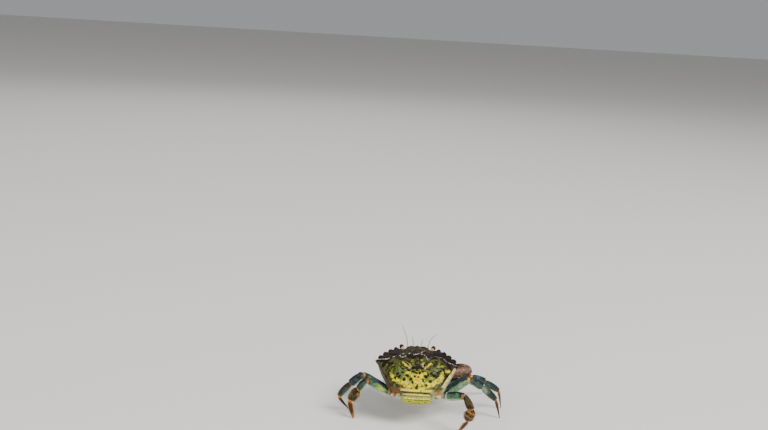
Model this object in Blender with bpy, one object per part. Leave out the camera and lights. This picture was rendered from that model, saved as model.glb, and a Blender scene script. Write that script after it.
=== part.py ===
"""A green shore crab standing on its walking legs with its front raised, at life size."""
import math

import bmesh
import bpy
from mathutils import Matrix, Vector

# Driving sizes, in metres and degrees
CW = 0.054              # unit of the body's sizes, close to the carapace width
GAP = 0.0003            # left between pieces that meet
PITCH = 23.0            # rise of the front
ROLL = 0.5              # rise of the right side
CENTRE_HEIGHT = 0.0335  # of the shell's margin plane above the floor, at the body's centre

# Body frame: X to the crab's left, Y to its rear, Z up from the plane of the side teeth
FRONT = -0.42           # Y of the frontal lobes
SHELL_BREADTH = 1.03    # widens the outline below
SHELL_CENTRE = -0.06    # Y of the top of the dome
DOME = 0.115            # height of the dome over the margin
SIDE_FLOOR = -0.158     # lower edge of the flanks
SHELL_FLOOR = -0.150    # underside of the shell, hidden inside the body
MARGIN_STEPS = 36       # points from the middle of the front to the middle of the rear
DOME_ROWS = 8           # rings of the top, from its middle to the margin
FLANK_ROWS = 4          # rings from the margin to the lower edge of the flanks
UNDER_ROWS = 4
DOME_SPREAD = (0.0, 0.15, 0.31, 0.47, 0.62, 0.75, 0.87, 0.965, 1.0)
HOLLOW_ROWS = (0.8, 1.0, 0.45, 0.0)     # how much of the face's hollows each flank ring takes
SOCKET_ACROSS = 0.195
SOCKET_WIDTH = 0.045
SOCKET_DEPTH = 0.115
PIT_WIDTH = 0.100
PIT_DEPTH = 0.060

TOOTHED_MARGIN = (      # left half, front to the last tooth: across, back from the front
    (0.000, 0.000), (0.022, 0.003), (0.036, 0.016),   # middle lobe and its notch
    (0.056, 0.005), (0.084, 0.004), (0.110, 0.016),   # side lobe
    (0.128, 0.034), (0.148, 0.064), (0.184, 0.076), (0.222, 0.068),   # orbit
    (0.264, 0.030), (0.283, 0.062), (0.281, 0.090),   # tooth 1 and the notch behind it
    (0.331, 0.074), (0.351, 0.108), (0.344, 0.138),   # tooth 2
    (0.394, 0.126), (0.412, 0.164), (0.403, 0.197),   # tooth 3
    (0.452, 0.192), (0.467, 0.234), (0.452, 0.264),   # tooth 4
    (0.500, 0.276), (0.486, 0.312),                   # tooth 5
)
REAR_MARGIN = ((0.486, 0.312), (0.455, 0.370), (0.412, 0.460), (0.360, 0.570), (0.318, 0.670),
               (0.290, 0.725), (0.230, 0.762), (0.130, 0.776), (0.000, 0.780))

# Walking legs: hip place in the body frame, then lengths and half heights of the five articles
ARTICLES = ("hip", "merus", "carpus", "propodus", "dactyl")
HIPS = {2: (0.190, -0.010, -0.205), 3: (0.205, 0.085, -0.200),
        4: (0.205, 0.175, -0.170), 5: (0.188, 0.262, -0.122)}
LENGTHS = {2: (0.12, 0.40, 0.19, 0.28, 0.28), 3: (0.12, 0.42, 0.20, 0.29, 0.29),
           4: (0.12, 0.38, 0.19, 0.275, 0.27), 5: (0.12, 0.32, 0.165, 0.225, 0.235)}
HALF_HEIGHTS = {2: (0.040, 0.056, 0.050, 0.042, 0.022), 3: (0.040, 0.058, 0.052, 0.044, 0.022),
                4: (0.040, 0.058, 0.052, 0.046, 0.022), 5: (0.042, 0.056, 0.050, 0.060, 0.031)}
SHAPES = {    # half height along each article as shares of its largest, joint to joint
    "hip": (1.00, 1.05, 1.0, 0.88), "merus": (0.62, 0.86, 0.98, 1.0, 0.94, 0.80),
    "carpus": (0.70, 0.92, 1.0, 0.96), "propodus": (0.72, 0.95, 1.0, 0.92, 0.72),
    "dactyl": (0.92, 0.95, 0.80, 0.62, 0.42, 0.24),
}
PADDLES = {"propodus": (0.66, 0.95, 1.0, 0.90, 0.66), "dactyl": (0.70, 0.98, 1.0, 0.86, 0.58, 0.22)}
BENDS = {"hip": 0.30, "merus": 0.30, "carpus": 0.55, "propodus": 0.30, "dactyl": 0.35}
WIDTH_SHARE = {"hip": 0.80, "merus": 0.58, "carpus": 0.66, "propodus": 0.60, "dactyl": 0.75}
PADDLE_SHARE = {"propodus": 0.42, "dactyl": 0.36}    # the last leg is flattened for swimming
TIP_HALF = 0.0005       # half size of a dactyl where it rests on the floor
LEG_RUN_ON = 0.0022     # how far an article is drawn past its joints before it is cut
CLAW_RUN_ON = 0.003

# Directions of hip, merus, carpus and propodus: forward of straight out, above level
LEG_POSE = {
    "left_2": ((55, -30), (74, 4), (92, -22), (95, -38)),
    "left_3": ((9, -20), (42, 3), (66, -20), (80, -31)),
    "left_4": ((9, -20), (1, 31), (12, -40), (33, -52)),
    "left_5": ((3, -6), (-7, 28), (26, -50), (37, -56)),
    "right_2": ((40, -30), (47, -4), (48, -13), (48, -29)),
    "right_3": ((9, -20), (24, 20), (26, -23), (34, -34)),
    "right_4": ((9, -20), (18, 28), (15, -29), (21, -43)),
    "right_5": ((3, -6), (-36, 17), (-58, -35), (-83, -118)),
}
DACTYL_TURN = {"left_2": 92, "left_3": 86, "left_4": -45, "left_5": 3,
               "right_2": 50, "right_3": 55, "right_4": 30, "right_5": -51}
DACTYL_TUCKED = ("left_4", "left_5", "right_5")      # these slope back towards the body
TWIST = {"right_5": (0, 0, 40, 75, 75)}              # turns the flat of each article about its axis

# Claws: hip, elbow, wrist joint and finger tip in the body frame, held folded before the mouth
CLAW_POINTS = {
    "left": ((0.150, -0.130, -0.210), (0.390, -0.225, -0.205),
             (0.335, -0.375, -0.215), (-0.060, -0.505, -0.205)),
    "right": ((0.150, -0.130, -0.205), (0.618, -0.200, -0.152),
              (0.485, -0.340, -0.260), (0.100, -0.530, -0.220)),
}
CLAW_TOOTH = (0.022, 0.008, 0.034)      # half size at root and tip, and length
WRIST_SPINE = (0.028, 0.008, 0.080)
WRIST_SPINE_SHARE = 0.60
WRIST_SPINE_SEAT = (0.060, 0.030)       # inward of the wrist's axis and above it

# Path of the abdomen in the body's middle plane: under the rear rim, down, then forward below
ABDOMEN_PATH = ((0.325, -0.024), (0.360, -0.046), (0.384, -0.078), (0.393, -0.114),
                (0.386, -0.154), (0.352, -0.196), (0.285, -0.236), (0.180, -0.266),
                (0.060, -0.282), (-0.040, -0.280))
ABDOMEN_WIDTHS = (0.172, 0.178, 0.182, 0.182, 0.174, 0.158, 0.135, 0.105, 0.075, 0.018)
ABDOMEN_JOINTS = (0.01, 0.125, 0.235, 0.66, 0.99)    # shares of the path where the plates meet
ABDOMEN_NAMES = ("abdomen_1", "abdomen_2", "abdomen_plate", "abdomen_tip")
ABDOMEN_STEPS = (3, 3, 12, 8)
ABDOMEN_THICK = 0.026
ABDOMEN_BOW = 0.022     # how far the sides lie below the middle
ABDOMEN_RIDGE = 0.007

# Eyes and feelers: points in the body frame, with half sizes
EYE_ROOT = (0.150, -0.330, -0.030)
EYE_END = (0.212, -0.402, 0.040)
EYE_HALVES = (0.020, 0.022, 0.023, 0.027, 0.029, 0.022, 0.008)
FEELERS = {    # root, middle and end, then half sizes at root and end
    "antenna_left": ((0.125, -0.385, -0.035), (0.135, -0.470, 0.080), (0.205, -0.540, 0.235),
                     0.012, 0.0050),
    "antenna_right": ((0.125, -0.385, -0.035), (0.155, -0.455, 0.085), (0.235, -0.500, 0.150),
                      0.012, 0.0050),
    "antennule_left": ((0.045, -0.385, -0.035), (0.055, -0.450, 0.040), (0.075, -0.470, 0.120),
                       0.011, 0.0048),
    "antennule_right": ((0.045, -0.385, -0.035), (0.050, -0.455, 0.020), (0.060, -0.490, 0.065),
                        0.011, 0.0048),
}

COLOURS = {
    "shell": (0.20, 0.22, 0.04), "belly": (0.62, 0.60, 0.36), "abdomen": (0.42, 0.46, 0.14),
    "leg": (0.07, 0.16, 0.11), "claw": (0.24, 0.12, 0.06), "dactyl": (0.36, 0.15, 0.05),
    "eye": (0.60, 0.50, 0.30), "feeler": (0.72, 0.70, 0.62),
}
ROUGHNESS = {"shell": 0.45, "belly": 0.50, "abdomen": 0.45, "leg": 0.45, "claw": 0.45,
             "dactyl": 0.45, "eye": 0.20, "feeler": 0.50}


def collection(name):
    made = bpy.data.collections.new(name)
    bpy.context.scene.collection.children.link(made)
    return made


def material(kind):
    made = bpy.data.materials.get(kind)
    if made is None:
        made = bpy.data.materials.new(kind)
        made.use_nodes = True
        shader = made.node_tree.nodes["Principled BSDF"]
        shader.inputs["Base Color"].default_value = (*COLOURS[kind], 1.0)
        shader.inputs["Roughness"].default_value = ROUGHNESS[kind]
    return made


def add(name, bm, kind):
    """Makes one part of the crab out of a finished bmesh."""
    mesh = bpy.data.meshes.new(name)
    bm.to_mesh(mesh)
    bm.free()
    mesh.shade_smooth()
    mesh.set_sharp_from_angle(angle=math.radians(40))
    made = bpy.data.objects.new(name, mesh)
    CRAB.objects.link(made)
    mesh.materials.append(material(kind))
    return made


def cutter_from(source, grow=GAP):
    """A copy of a part, grown by the gap, that cuts room for it out of its neighbours."""
    made = source.copy()
    made.data = source.data.copy()
    made.name = source.name + "_room"
    CUTTERS.objects.link(made)
    made.hide_render = True
    made.display_type = "WIRE"
    bm = bmesh.new()
    bm.from_mesh(made.data)
    bm.normal_update()
    moves = [vert.normal * (vert.calc_shell_factor() * grow) for vert in bm.verts]
    for vert, move in zip(bm.verts, moves):
        vert.co += move
    bm.to_mesh(made.data)
    bm.free()
    return made


def keep_largest(target):
    """Drops the loose scraps that a cut can leave."""
    bm = bmesh.new()
    bm.from_mesh(target.data)
    bm.verts.ensure_lookup_table()
    unseen = set(bm.verts)
    bodies = []
    while unseen:
        body = set()
        edge = [unseen.pop()]
        while edge:
            vert = edge.pop()
            body.add(vert)
            for link in vert.link_edges:
                other = link.other_vert(vert)
                if other in unseen:
                    unseen.remove(other)
                    edge.append(other)
        bodies.append(body)
    largest = max(bodies, key=len)
    bmesh.ops.delete(bm, geom=[vert for vert in bm.verts if vert not in largest], context="VERTS")
    bm.to_mesh(target.data)
    bm.free()


def combine(target, tools, operation):
    """Joins solids to a part, or cuts them out of it, and applies the result."""
    for tool in tools:
        change = target.modifiers.new(operation.lower(), "BOOLEAN")
        change.operation = operation
        change.solver = "MANIFOLD"
        change.object = tool
    depsgraph = bpy.context.evaluated_depsgraph_get()
    result = bpy.data.meshes.new_from_object(target.evaluated_get(depsgraph))
    target.modifiers.clear()
    target.data = result
    keep_largest(target)


def remove(objects):
    for thing in objects:
        bpy.data.objects.remove(thing)


def body_matrix():
    lift = Matrix.Translation((0.0, 0.0, CENTRE_HEIGHT))
    roll = Matrix.Rotation(math.radians(ROLL), 4, "Y")
    pitch = Matrix.Rotation(math.radians(-PITCH), 4, "X")
    return lift @ roll @ pitch @ Matrix.Scale(CW, 4)


def on_body(across, back, up):
    return BODY @ Vector((across, back, up))


def direction(azimuth, elevation, side):
    """Azimuth 0 points straight out from the body and 90 forward; side is 1 for left, -1 for right."""
    turn = math.radians(azimuth)
    rise = math.radians(elevation)
    return Vector((side * math.cos(turn) * math.cos(rise), -math.sin(turn) * math.cos(rise), math.sin(rise)))


def blend(values, share):
    """Reads a smooth value at a share from 0 to 1 of an evenly spaced list of numbers or vectors."""
    place = min(max(share, 0.0), 1.0) * (len(values) - 1)
    low = min(int(place), len(values) - 2)
    rest = place - low
    before = values[max(low - 1, 0)]
    start = values[low]
    end = values[low + 1]
    after = values[min(low + 2, len(values) - 1)]
    slope_in = (end - before) * 0.5
    slope_out = (after - start) * 0.5
    square = rest * rest
    cube = square * rest
    return (start * (2 * cube - 3 * square + 1) + slope_in * (cube - 2 * square + rest)
            + end * (3 * square - 2 * cube) + slope_out * (cube - square))


def rod(sides, rings):
    """A closed unit tube from 0 to 1 along Z, in rings, that the lofts reshape."""
    bm = bmesh.new()
    bmesh.ops.create_cone(bm, cap_ends=True, segments=sides, radius1=1.0, radius2=1.0, depth=1.0)
    bmesh.ops.translate(bm, verts=bm.verts, vec=(0.0, 0.0, 0.5))
    long_edges = [edge for edge in bm.edges if abs(edge.verts[0].co.z - edge.verts[1].co.z) > 0.5]
    bmesh.ops.subdivide_edges(bm, edges=long_edges, cuts=rings - 1, use_grid_fill=True)
    return bm


def loft(path, half_width, half_height, side, sides=10, rings=8, keel=0.0):
    """Sweeps an oval along a path. side points across the oval; keel narrows its upper half."""
    bm = rod(sides, rings)
    step = 0.01
    for vert in bm.verts:
        share = vert.co.z
        ahead = (path(share + step) - path(share - step)).normalized()
        across = side(share)
        across = (across - ahead * across.dot(ahead)).normalized()
        up = ahead.cross(across)
        width = half_width(share) * vert.co.x
        height = half_height(share) * vert.co.y
        if vert.co.y > 0.0:
            width *= 1.0 - keel * vert.co.y
        vert.co = path(share) + across * width + up * height
    return bm


def face_outwards(bm):
    bmesh.ops.recalc_face_normals(bm, faces=bm.faces)
    if bm.calc_volume(signed=True) < 0.0:
        bmesh.ops.reverse_faces(bm, faces=bm.faces)


def cut(bm, point, normal):
    """Removes what lies beyond a plane and closes the cut with a flat face."""
    geometry = bm.verts[:] + bm.edges[:] + bm.faces[:]
    bmesh.ops.bisect_plane(bm, geom=geometry, plane_co=point, plane_no=normal, clear_outer=True)
    open_edges = [edge for edge in bm.edges if edge.is_boundary]
    if open_edges:
        bmesh.ops.contextual_create(bm, geom=open_edges)
    face_outwards(bm)


class Bend:
    """The curved axis of one article, run on in a straight line past both of its joints."""

    def __init__(self, start, end, leaving, arriving, run_on):
        self.start = start
        self.end = end
        self.length = (end - start).length
        self.leaving = leaving.normalized()
        self.arriving = arriving.normalized()
        self.run_on = run_on / self.length

    def at(self, share):
        place = share * (1.0 + 2.0 * self.run_on) - self.run_on
        if place < 0.0:
            return self.start + self.leaving * (place * self.length)
        if place > 1.0:
            return self.end + self.arriving * ((place - 1.0) * self.length)
        square = place * place
        cube = square * place
        return (self.start * (2 * cube - 3 * square + 1)
                + self.leaving * (self.length * (cube - 2 * square + place))
                + self.end * (3 * square - 2 * cube)
                + self.arriving * (self.length * (cube - square)))

    def own_share(self, share):
        """Share of the article itself, from joint to joint, at a share of the longer axis."""
        return share * (1.0 + 2.0 * self.run_on) - self.run_on


def shell_margin():
    """The shell's outline as (across, back) points from the front's middle round by the left."""
    rear = [Vector(point) for point in REAR_MARGIN]
    steps = MARGIN_STEPS - len(TOOTHED_MARGIN) + 1
    half = [Vector(point) for point in TOOTHED_MARGIN]
    half += [blend(rear, (k + 1) / steps) for k in range(steps)]
    half = [Vector((point.x * SHELL_BREADTH, point.y + FRONT)) for point in half]
    other = [Vector((-point.x, point.y)) for point in half[-2:0:-1]]
    return half + other


def soften(points, times):
    """Evens out a closed outline, so that teeth and notches fade."""
    for _ in range(times):
        count = len(points)
        points = [(points[k - 1] + points[k] * 2.0 + points[(k + 1) % count]) / 4.0 for k in range(count)]
    return points


def bump(across, back, place, size, height):
    """A smooth swelling, the same on both sides of the shell."""
    near = ((abs(across) - place[0]) / size[0]) ** 2 + ((back - place[1]) / size[1]) ** 2
    return height * math.exp(-near)


def shell_relief(across, back):
    """The regions of the carapace: stomach, heart and gill swellings and the groove between them."""
    relief = bump(across, back, (0.0, -0.20), (0.10, 0.10), 0.010)
    relief += bump(across, back, (0.0, 0.16), (0.08, 0.09), 0.010)
    relief += bump(across, back, (0.24, 0.05), (0.11, 0.15), 0.012)
    relief -= bump(across, back, (0.11, -0.02), (0.035, 0.12), 0.010)
    relief -= bump(across, back, (0.20, -0.19), (0.09, 0.04), 0.008)
    return relief


def face_hollow(across, rear):
    """The eye sockets and the pits between them, under the front margin."""
    if rear > 0.5:
        return 0.0
    socket = SOCKET_DEPTH * math.exp(-((abs(across) - SOCKET_ACROSS) / SOCKET_WIDTH) ** 2)
    return socket + PIT_DEPTH * math.exp(-(across / PIT_WIDTH) ** 4)


def make_carapace():
    """A ball of rings: the top half is the dome, the middle ring the toothed margin."""
    rows = DOME_ROWS + FLANK_ROWS + UNDER_ROWS
    columns = 2 * MARGIN_STEPS
    toothed = shell_margin()
    even = soften(toothed, 6)
    centre = Vector((0.0, SHELL_CENTRE))
    bm = bmesh.new()
    bmesh.ops.create_uvsphere(bm, u_segments=columns, v_segments=rows, radius=1.0)
    for vert in bm.verts:
        turn = math.atan2(vert.co.x, -vert.co.y)
        column = round(turn / math.tau * columns) % columns
        row = round(math.acos(max(-1.0, min(1.0, vert.co.z))) / math.pi * rows)
        rear = 0.5 - 0.5 * math.cos(column / columns * math.tau)
        sideways = math.sin(column / columns * math.tau) ** 2
        edge = 0.020 * rear ** 6 + 0.014 * (1.0 - rear) ** 4
        low_share = 0.66 + 0.28 * rear ** 0.6
        side_low = SIDE_FLOOR + 0.020 * (1.0 - rear) ** 2
        depth = (row - DOME_ROWS) / FLANK_ROWS
        hollow = 0.0
        if 0.0 < depth <= 1.0:
            hollow = face_hollow(even[column].x, rear) * HOLLOW_ROWS[row - DOME_ROWS - 1]
        if row <= DOME_ROWS:
            share = DOME_SPREAD[row]
            line = toothed if row >= DOME_ROWS - 1 else even
            place = centre.lerp(line[column], share)
            fall = share ** (1.75 + 0.9 * rear + 0.3 * sideways)
            height = DOME * (1.0 - fall) + edge * share
            height += shell_relief(place.x, place.y) * (1.0 - share ** 4)
        elif row == DOME_ROWS + 1:
            place = centre.lerp(toothed[column], 0.985 - hollow)
            height = edge - 0.020
        elif depth <= 1.0:
            place = centre.lerp(even[column], 1.0 + (low_share - 1.0) * (depth - 0.12) - hollow)
            height = edge + (side_low - edge) * depth
        else:
            under = (rows - row) / UNDER_ROWS
            place = centre.lerp(even[column], low_share * under)
            height = SHELL_FLOOR + (side_low - SHELL_FLOOR) * under
        vert.co = BODY @ Vector((place.x, place.y, height))
    face_outwards(bm)
    return add("carapace", bm, "shell")


def make_trunk():
    """Breast and mouth frame, below the shell."""
    half_widths = (0.090, 0.135, 0.155, 0.190, 0.218, 0.228, 0.228, 0.215, 0.175, 0.110)
    floors = (-0.115, -0.185, -0.240, -0.266, -0.272, -0.272, -0.268, -0.255, -0.225, -0.160)
    first = -0.350
    last = 0.345
    bm = rod(20, 14)
    for vert in bm.verts:
        share = vert.co.z
        angle = math.atan2(vert.co.y, vert.co.x)
        taper = 1.0 - 0.5 * abs(2.0 * share - 1.0) ** 8
        across = blend(half_widths, share) * taper * math.cos(angle) * abs(math.cos(angle)) ** -0.35 \
            if abs(math.cos(angle)) > 0.01 else 0.0
        floor = blend(floors, share)
        top = -0.090
        middle = (floor + top) / 2.0
        up = middle + (top - floor) / 2.0 * math.sin(angle) * max(abs(math.sin(angle)), 0.01) ** -0.3
        vert.co = on_body(across, first + (last - first) * share, up)
    face_outwards(bm)
    return add("thorax", bm, "belly")


def make_mouth_plates():
    """The pair of flat outer mouthparts that close the mouth like doors."""
    bm = bmesh.new()
    bmesh.ops.create_cube(bm, size=2.0)
    bmesh.ops.subdivide_edges(bm, edges=bm.edges[:], cuts=3, use_grid_fill=True)
    for vert in bm.verts:
        sideways, along, thick = vert.co
        crown = 1.0 - 0.5 * sideways ** 4 - 0.4 * along ** 4
        back = -0.240 + 0.100 * along * (1.0 - 0.12 * sideways ** 2)
        across = 0.063 + 0.056 * sideways * (1.0 - 0.15 * along ** 2) - 0.006 * along
        top = -0.192 - 0.045 * along
        vert.co = (across, back, top - (0.026 + 0.011 * crown) * (1.0 - thick))
    bmesh.ops.mirror(bm, geom=bm.verts[:] + bm.edges[:] + bm.faces[:], axis="X", merge_dist=1e-7)
    bmesh.ops.transform(bm, verts=bm.verts, matrix=BODY)
    face_outwards(bm)
    return add("mouth_plates", bm, "belly")


def abdomen_at(share, inward):
    """A point below the abdomen's outer face, at a share of its path."""
    point = blend(ABDOMEN_LINE, share)
    ahead = (blend(ABDOMEN_LINE, share + 0.01) - blend(ABDOMEN_LINE, share - 0.01)).normalized()
    outward = Vector((1.0, 0.0, 0.0)).cross(ahead)
    return point - outward * inward


def half_gap(share):
    """Half the gap between two plates, as a share of the abdomen's path."""
    step = 0.01
    length = (blend(ABDOMEN_LINE, share + step) - blend(ABDOMEN_LINE, share - step)).length
    return GAP / CW * step / length


def abdomen_piece(first, last, steps):
    """One plate of the abdomen: a slab bent round the path, bowed across, with a raised ridge."""
    bm = bmesh.new()
    bmesh.ops.create_cube(bm, size=1.0)
    lengthwise = [edge for edge in bm.edges if abs(edge.verts[0].co.y - edge.verts[1].co.y) > 0.5]
    bmesh.ops.subdivide_edges(bm, edges=lengthwise, cuts=steps - 1, use_grid_fill=True)
    crosswise = [edge for edge in bm.edges if abs(edge.verts[0].co.x - edge.verts[1].co.x) > 0.5]
    bmesh.ops.subdivide_edges(bm, edges=crosswise, cuts=7, use_grid_fill=True)
    for vert in bm.verts:
        own = vert.co.y + 0.5
        share = first + (last - first) * own
        half = blend(ABDOMEN_WIDTHS, share)
        inward = ABDOMEN_BOW * (2.0 * vert.co.x) ** 2
        if vert.co.z < 0.0:
            inward += ABDOMEN_THICK
        else:
            inward -= ABDOMEN_RIDGE * math.sin(math.pi * own) ** 2
        point = abdomen_at(share, inward)
        vert.co = on_body(half * 2.0 * vert.co.x, point.y, point.z)
    face_outwards(bm)
    return bm


def make_abdomen():
    made = []
    for name, first, last, steps in zip(ABDOMEN_NAMES, ABDOMEN_JOINTS, ABDOMEN_JOINTS[1:], ABDOMEN_STEPS):
        bm = abdomen_piece(first + half_gap(first), last - half_gap(last), steps)
        made.append(add(name, bm, "abdomen"))
    return made


def leg_joints(name):
    """Joint points of one leg from hip to tip; the dactyl slopes so that it ends on the floor."""
    side = 1 if name.startswith("left") else -1
    number = int(name[-1])
    hip = HIPS[number]
    points = [on_body(side * hip[0], hip[1], hip[2])]
    turns = []
    for (azimuth, elevation), length in zip(LEG_POSE[name], LENGTHS[number]):
        points.append(points[-1] + direction(azimuth, elevation, side) * length * CW)
        turns.append(azimuth)
    length = LENGTHS[number][4] * CW
    slope = math.degrees(math.asin(min(points[-1].z / length, 0.999)))
    if name in DACTYL_TUCKED:
        slope = 180.0 - slope
    points.append(points[-1] + direction(DACTYL_TURN[name], -slope, side) * length)
    turns.append(DACTYL_TURN[name])
    return points, turns


def make_leg(name, rooms):
    """Five articles along the joints, parted by planes that halve each bend."""
    side = 1 if name.startswith("left") else -1
    number = int(name[-1])
    points, turns = leg_joints(name)
    turns = [turn + twist for turn, twist in zip(turns, TWIST.get(name, (0,) * len(ARTICLES)))]
    steps = [(b - a).normalized() for a, b in zip(points, points[1:])]
    halves = [steps[0]] + [(a + b).normalized() for a, b in zip(steps, steps[1:])] + [steps[-1]]
    leaving = []
    arriving = []
    for k, article in enumerate(ARTICLES):
        share = BENDS[article]
        leaving.append(steps[k].lerp(halves[k], share).normalized())
        arriving.append(steps[k].lerp(halves[k + 1], share).normalized())
    for k, article in enumerate(ARTICLES):
        paddle = number == 5 and article in PADDLES
        shape = PADDLES[article] if paddle else SHAPES[article]
        share = PADDLE_SHARE[article] if paddle else WIDTH_SHARE[article]
        half = HALF_HEIGHTS[number][k] * CW
        bend = Bend(points[k], points[k + 1], leaving[k], arriving[k], LEG_RUN_ON)
        across = Vector((0.0, 0.0, 1.0)).cross(direction(turns[k], 0.0, side))

        def height(place, bend=bend, shape=shape, half=half):
            return max(half * blend(shape, bend.own_share(place)), TIP_HALF)

        def width(place, height=height, share=share):
            return max(height(place) * share, TIP_HALF)

        sides = 12 if article in ("merus", "propodus") else 10
        rings = 7 if article in ("merus", "propodus", "dactyl") else 5
        bm = loft(bend.at, width, height, lambda _, across=across: across, sides, rings, 0.25)
        if k > 0:
            plane = (arriving[k - 1] + leaving[k]).normalized()
            cut(bm, points[k] + plane * GAP / 2.0, -plane)
        if k < 4:
            plane = (arriving[k] + leaving[k + 1]).normalized()
            cut(bm, points[k + 1] - plane * GAP / 2.0, plane)
        else:
            cut(bm, Vector((0.0, 0.0, 0.0)), Vector((0.0, 0.0, -1.0)))
        made = add("leg_%s_%s" % (name, article), bm, "dactyl" if article == "dactyl" else "leg")
        if article == "hip":
            combine(made, rooms, "DIFFERENCE")


def make_spike(seat, way, sizes):
    """A blunt cone of given root and tip half sizes and length, centred on its seat."""
    root, tip, length = [size * CW for size in sizes]
    bm = bmesh.new()
    bmesh.ops.create_cone(bm, cap_ends=True, segments=6, radius1=root, radius2=tip, depth=length)
    turn = Vector((0.0, 0.0, 1.0)).rotation_difference(way).to_matrix().to_4x4()
    bmesh.ops.transform(bm, verts=bm.verts, matrix=Matrix.Translation(seat) @ turn)
    return add("spike", bm, "claw")


def make_claw(side_name, rooms):
    """Arm, wrist, palm with its fixed finger, and the finger that moves."""
    side = 1 if side_name == "left" else -1
    hip, elbow, wrist, tip = [on_body(side * x, y, z) for x, y, z in CLAW_POINTS[side_name]]
    up = BODY.to_3x3() @ Vector((0.0, 0.0, 1.0))
    up.normalize()
    points = [hip, elbow, wrist, tip]
    steps = [(b - a).normalized() for a, b in zip(points, points[1:])]
    joints = [(a + b).normalized() for a, b in zip(steps, steps[1:])]
    sizes = (
        ("arm", (0.045, 0.056, 0.064, 0.068, 0.064), (0.045, 0.050, 0.054, 0.058, 0.056)),
        ("wrist", (0.062, 0.080, 0.082, 0.068), (0.058, 0.070, 0.072, 0.062)),
    )
    for k, (piece, heights, widths) in enumerate(sizes):
        leaving = steps[k] if k == 0 else steps[k].lerp(joints[k - 1], 0.5)
        arriving = steps[k].lerp(joints[k], 0.35)
        bend = Bend(points[k], points[k + 1], leaving, arriving, CLAW_RUN_ON)

        def height(place, bend=bend, heights=heights):
            return CW * blend(heights, bend.own_share(place))

        def width(place, bend=bend, widths=widths):
            return CW * blend(widths, bend.own_share(place))

        across = up.cross(steps[k])
        bm = loft(bend.at, width, height, lambda _, across=across: across, 12, 8, 0.15)
        if k == 1:
            cut(bm, elbow + joints[0] * GAP / 2.0, -joints[0])
        cut(bm, points[k + 1] - joints[k] * GAP / 2.0, joints[k])
        made = add("claw_%s_%s" % (side_name, piece), bm, "claw")
        if piece == "arm":
            combine(made, rooms, "DIFFERENCE")
        else:
            inward = across.normalized() * -side
            seat = bend.at(WRIST_SPINE_SHARE) + (inward * WRIST_SPINE_SEAT[0] + up * WRIST_SPINE_SEAT[1]) * CW
            spine = make_spike(seat, inward + up * 0.4, WRIST_SPINE)
            combine(made, [spine], "UNION")
            remove([spine])
    make_palm(side_name, wrist, tip, joints[1], up)
    make_finger(side_name, wrist, tip, up)


def make_palm(side_name, wrist, tip, joint, up):
    """A swollen palm whose lower half runs on into the fixed finger."""
    reach = (tip - wrist).normalized()
    across = up.cross(reach)
    above = reach.cross(across).normalized()
    heights = (0.062, 0.092, 0.106, 0.110, 0.106, 0.050, 0.042, 0.034, 0.026, 0.012)
    widths = (0.055, 0.068, 0.074, 0.074, 0.066, 0.040, 0.036, 0.030, 0.022, 0.012)
    drops = (0.0, 0.0, 0.0, -0.004, -0.010, -0.060, -0.062, -0.056, -0.044, -0.024)
    bend = Bend(wrist, tip, joint.lerp(reach, 0.5), reach, CLAW_RUN_ON)

    def path(place):
        return bend.at(place) + above * CW * blend(drops, bend.own_share(place))

    def height(place):
        return CW * blend(heights, bend.own_share(place))

    def width(place):
        return CW * blend(widths, bend.own_share(place))

    bm = loft(path, width, height, lambda _: across, 14, 18)
    cut(bm, wrist + joint * GAP / 2.0, -joint)
    cut(bm, tip, reach)
    palm = add("claw_%s_palm" % side_name, bm, "claw")
    teeth = []
    for k in range(5):
        share = 0.58 + 0.075 * k
        seat = wrist.lerp(tip, share) + above * CW * (blend(drops, share) + blend(heights, share) * 0.9)
        teeth.append(make_spike(seat, above, CLAW_TOOTH))
    combine(palm, teeth, "UNION")
    remove(teeth)


def make_finger(side_name, wrist, tip, up):
    """The moving finger, arched over the fixed one and closed on it but for a slit."""
    reach = (tip - wrist).normalized()
    across = up.cross(reach)
    above = reach.cross(across).normalized()
    root = wrist + CW * (reach * 0.230 + above * 0.055)
    end = tip + above * CW * 0.020 - reach * CW * 0.004
    heights = (0.050, 0.046, 0.038, 0.030, 0.020, 0.011)
    widths = (0.044, 0.040, 0.034, 0.028, 0.020, 0.010)
    bend = Bend(root, end, reach + above * 0.45, reach - above * 0.65, 0.0)

    def height(place):
        return CW * blend(heights, place)

    def width(place):
        return CW * blend(widths, place)

    bm = loft(bend.at, width, height, lambda _: across, 10, 10)
    finger = add("claw_%s_finger" % side_name, bm, "claw")
    palm = bpy.data.objects["claw_%s_palm" % side_name]
    room = cutter_from(palm)
    combine(finger, [room], "DIFFERENCE")
    remove([room])


def make_eye(side_name, rooms):
    """A short stalk that carries the dark cornea at its end."""
    side = 1 if side_name == "left" else -1
    root, end = [on_body(side * x, y, z) for x, y, z in (EYE_ROOT, EYE_END)]

    def half(share):
        return CW * blend(EYE_HALVES, share)

    bm = loft(lambda share: root.lerp(end, share), half, half, lambda _: Vector((1.0, 0.0, 0.0)), 12, 10)
    eye = add("eye_" + side_name, bm, "eye")
    combine(eye, rooms, "DIFFERENCE")


def make_feeler(name, rooms):
    side = 1 if name.endswith("left") else -1
    root, middle, end, thick, thin = FEELERS[name]
    points = [on_body(side * x, y, z) for x, y, z in (root, middle, end)]

    def path(share):
        return blend(points, share)

    def half(share):
        return CW * (thin + (thick - thin) * max(0.0, 1.0 - 4.0 * share) ** 0.7)

    bm = loft(path, half, half, lambda _: Vector((1.0, 0.0, 0.0)), 8, 14)
    feeler = add(name, bm, "feeler")
    combine(feeler, rooms, "DIFFERENCE")


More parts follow.
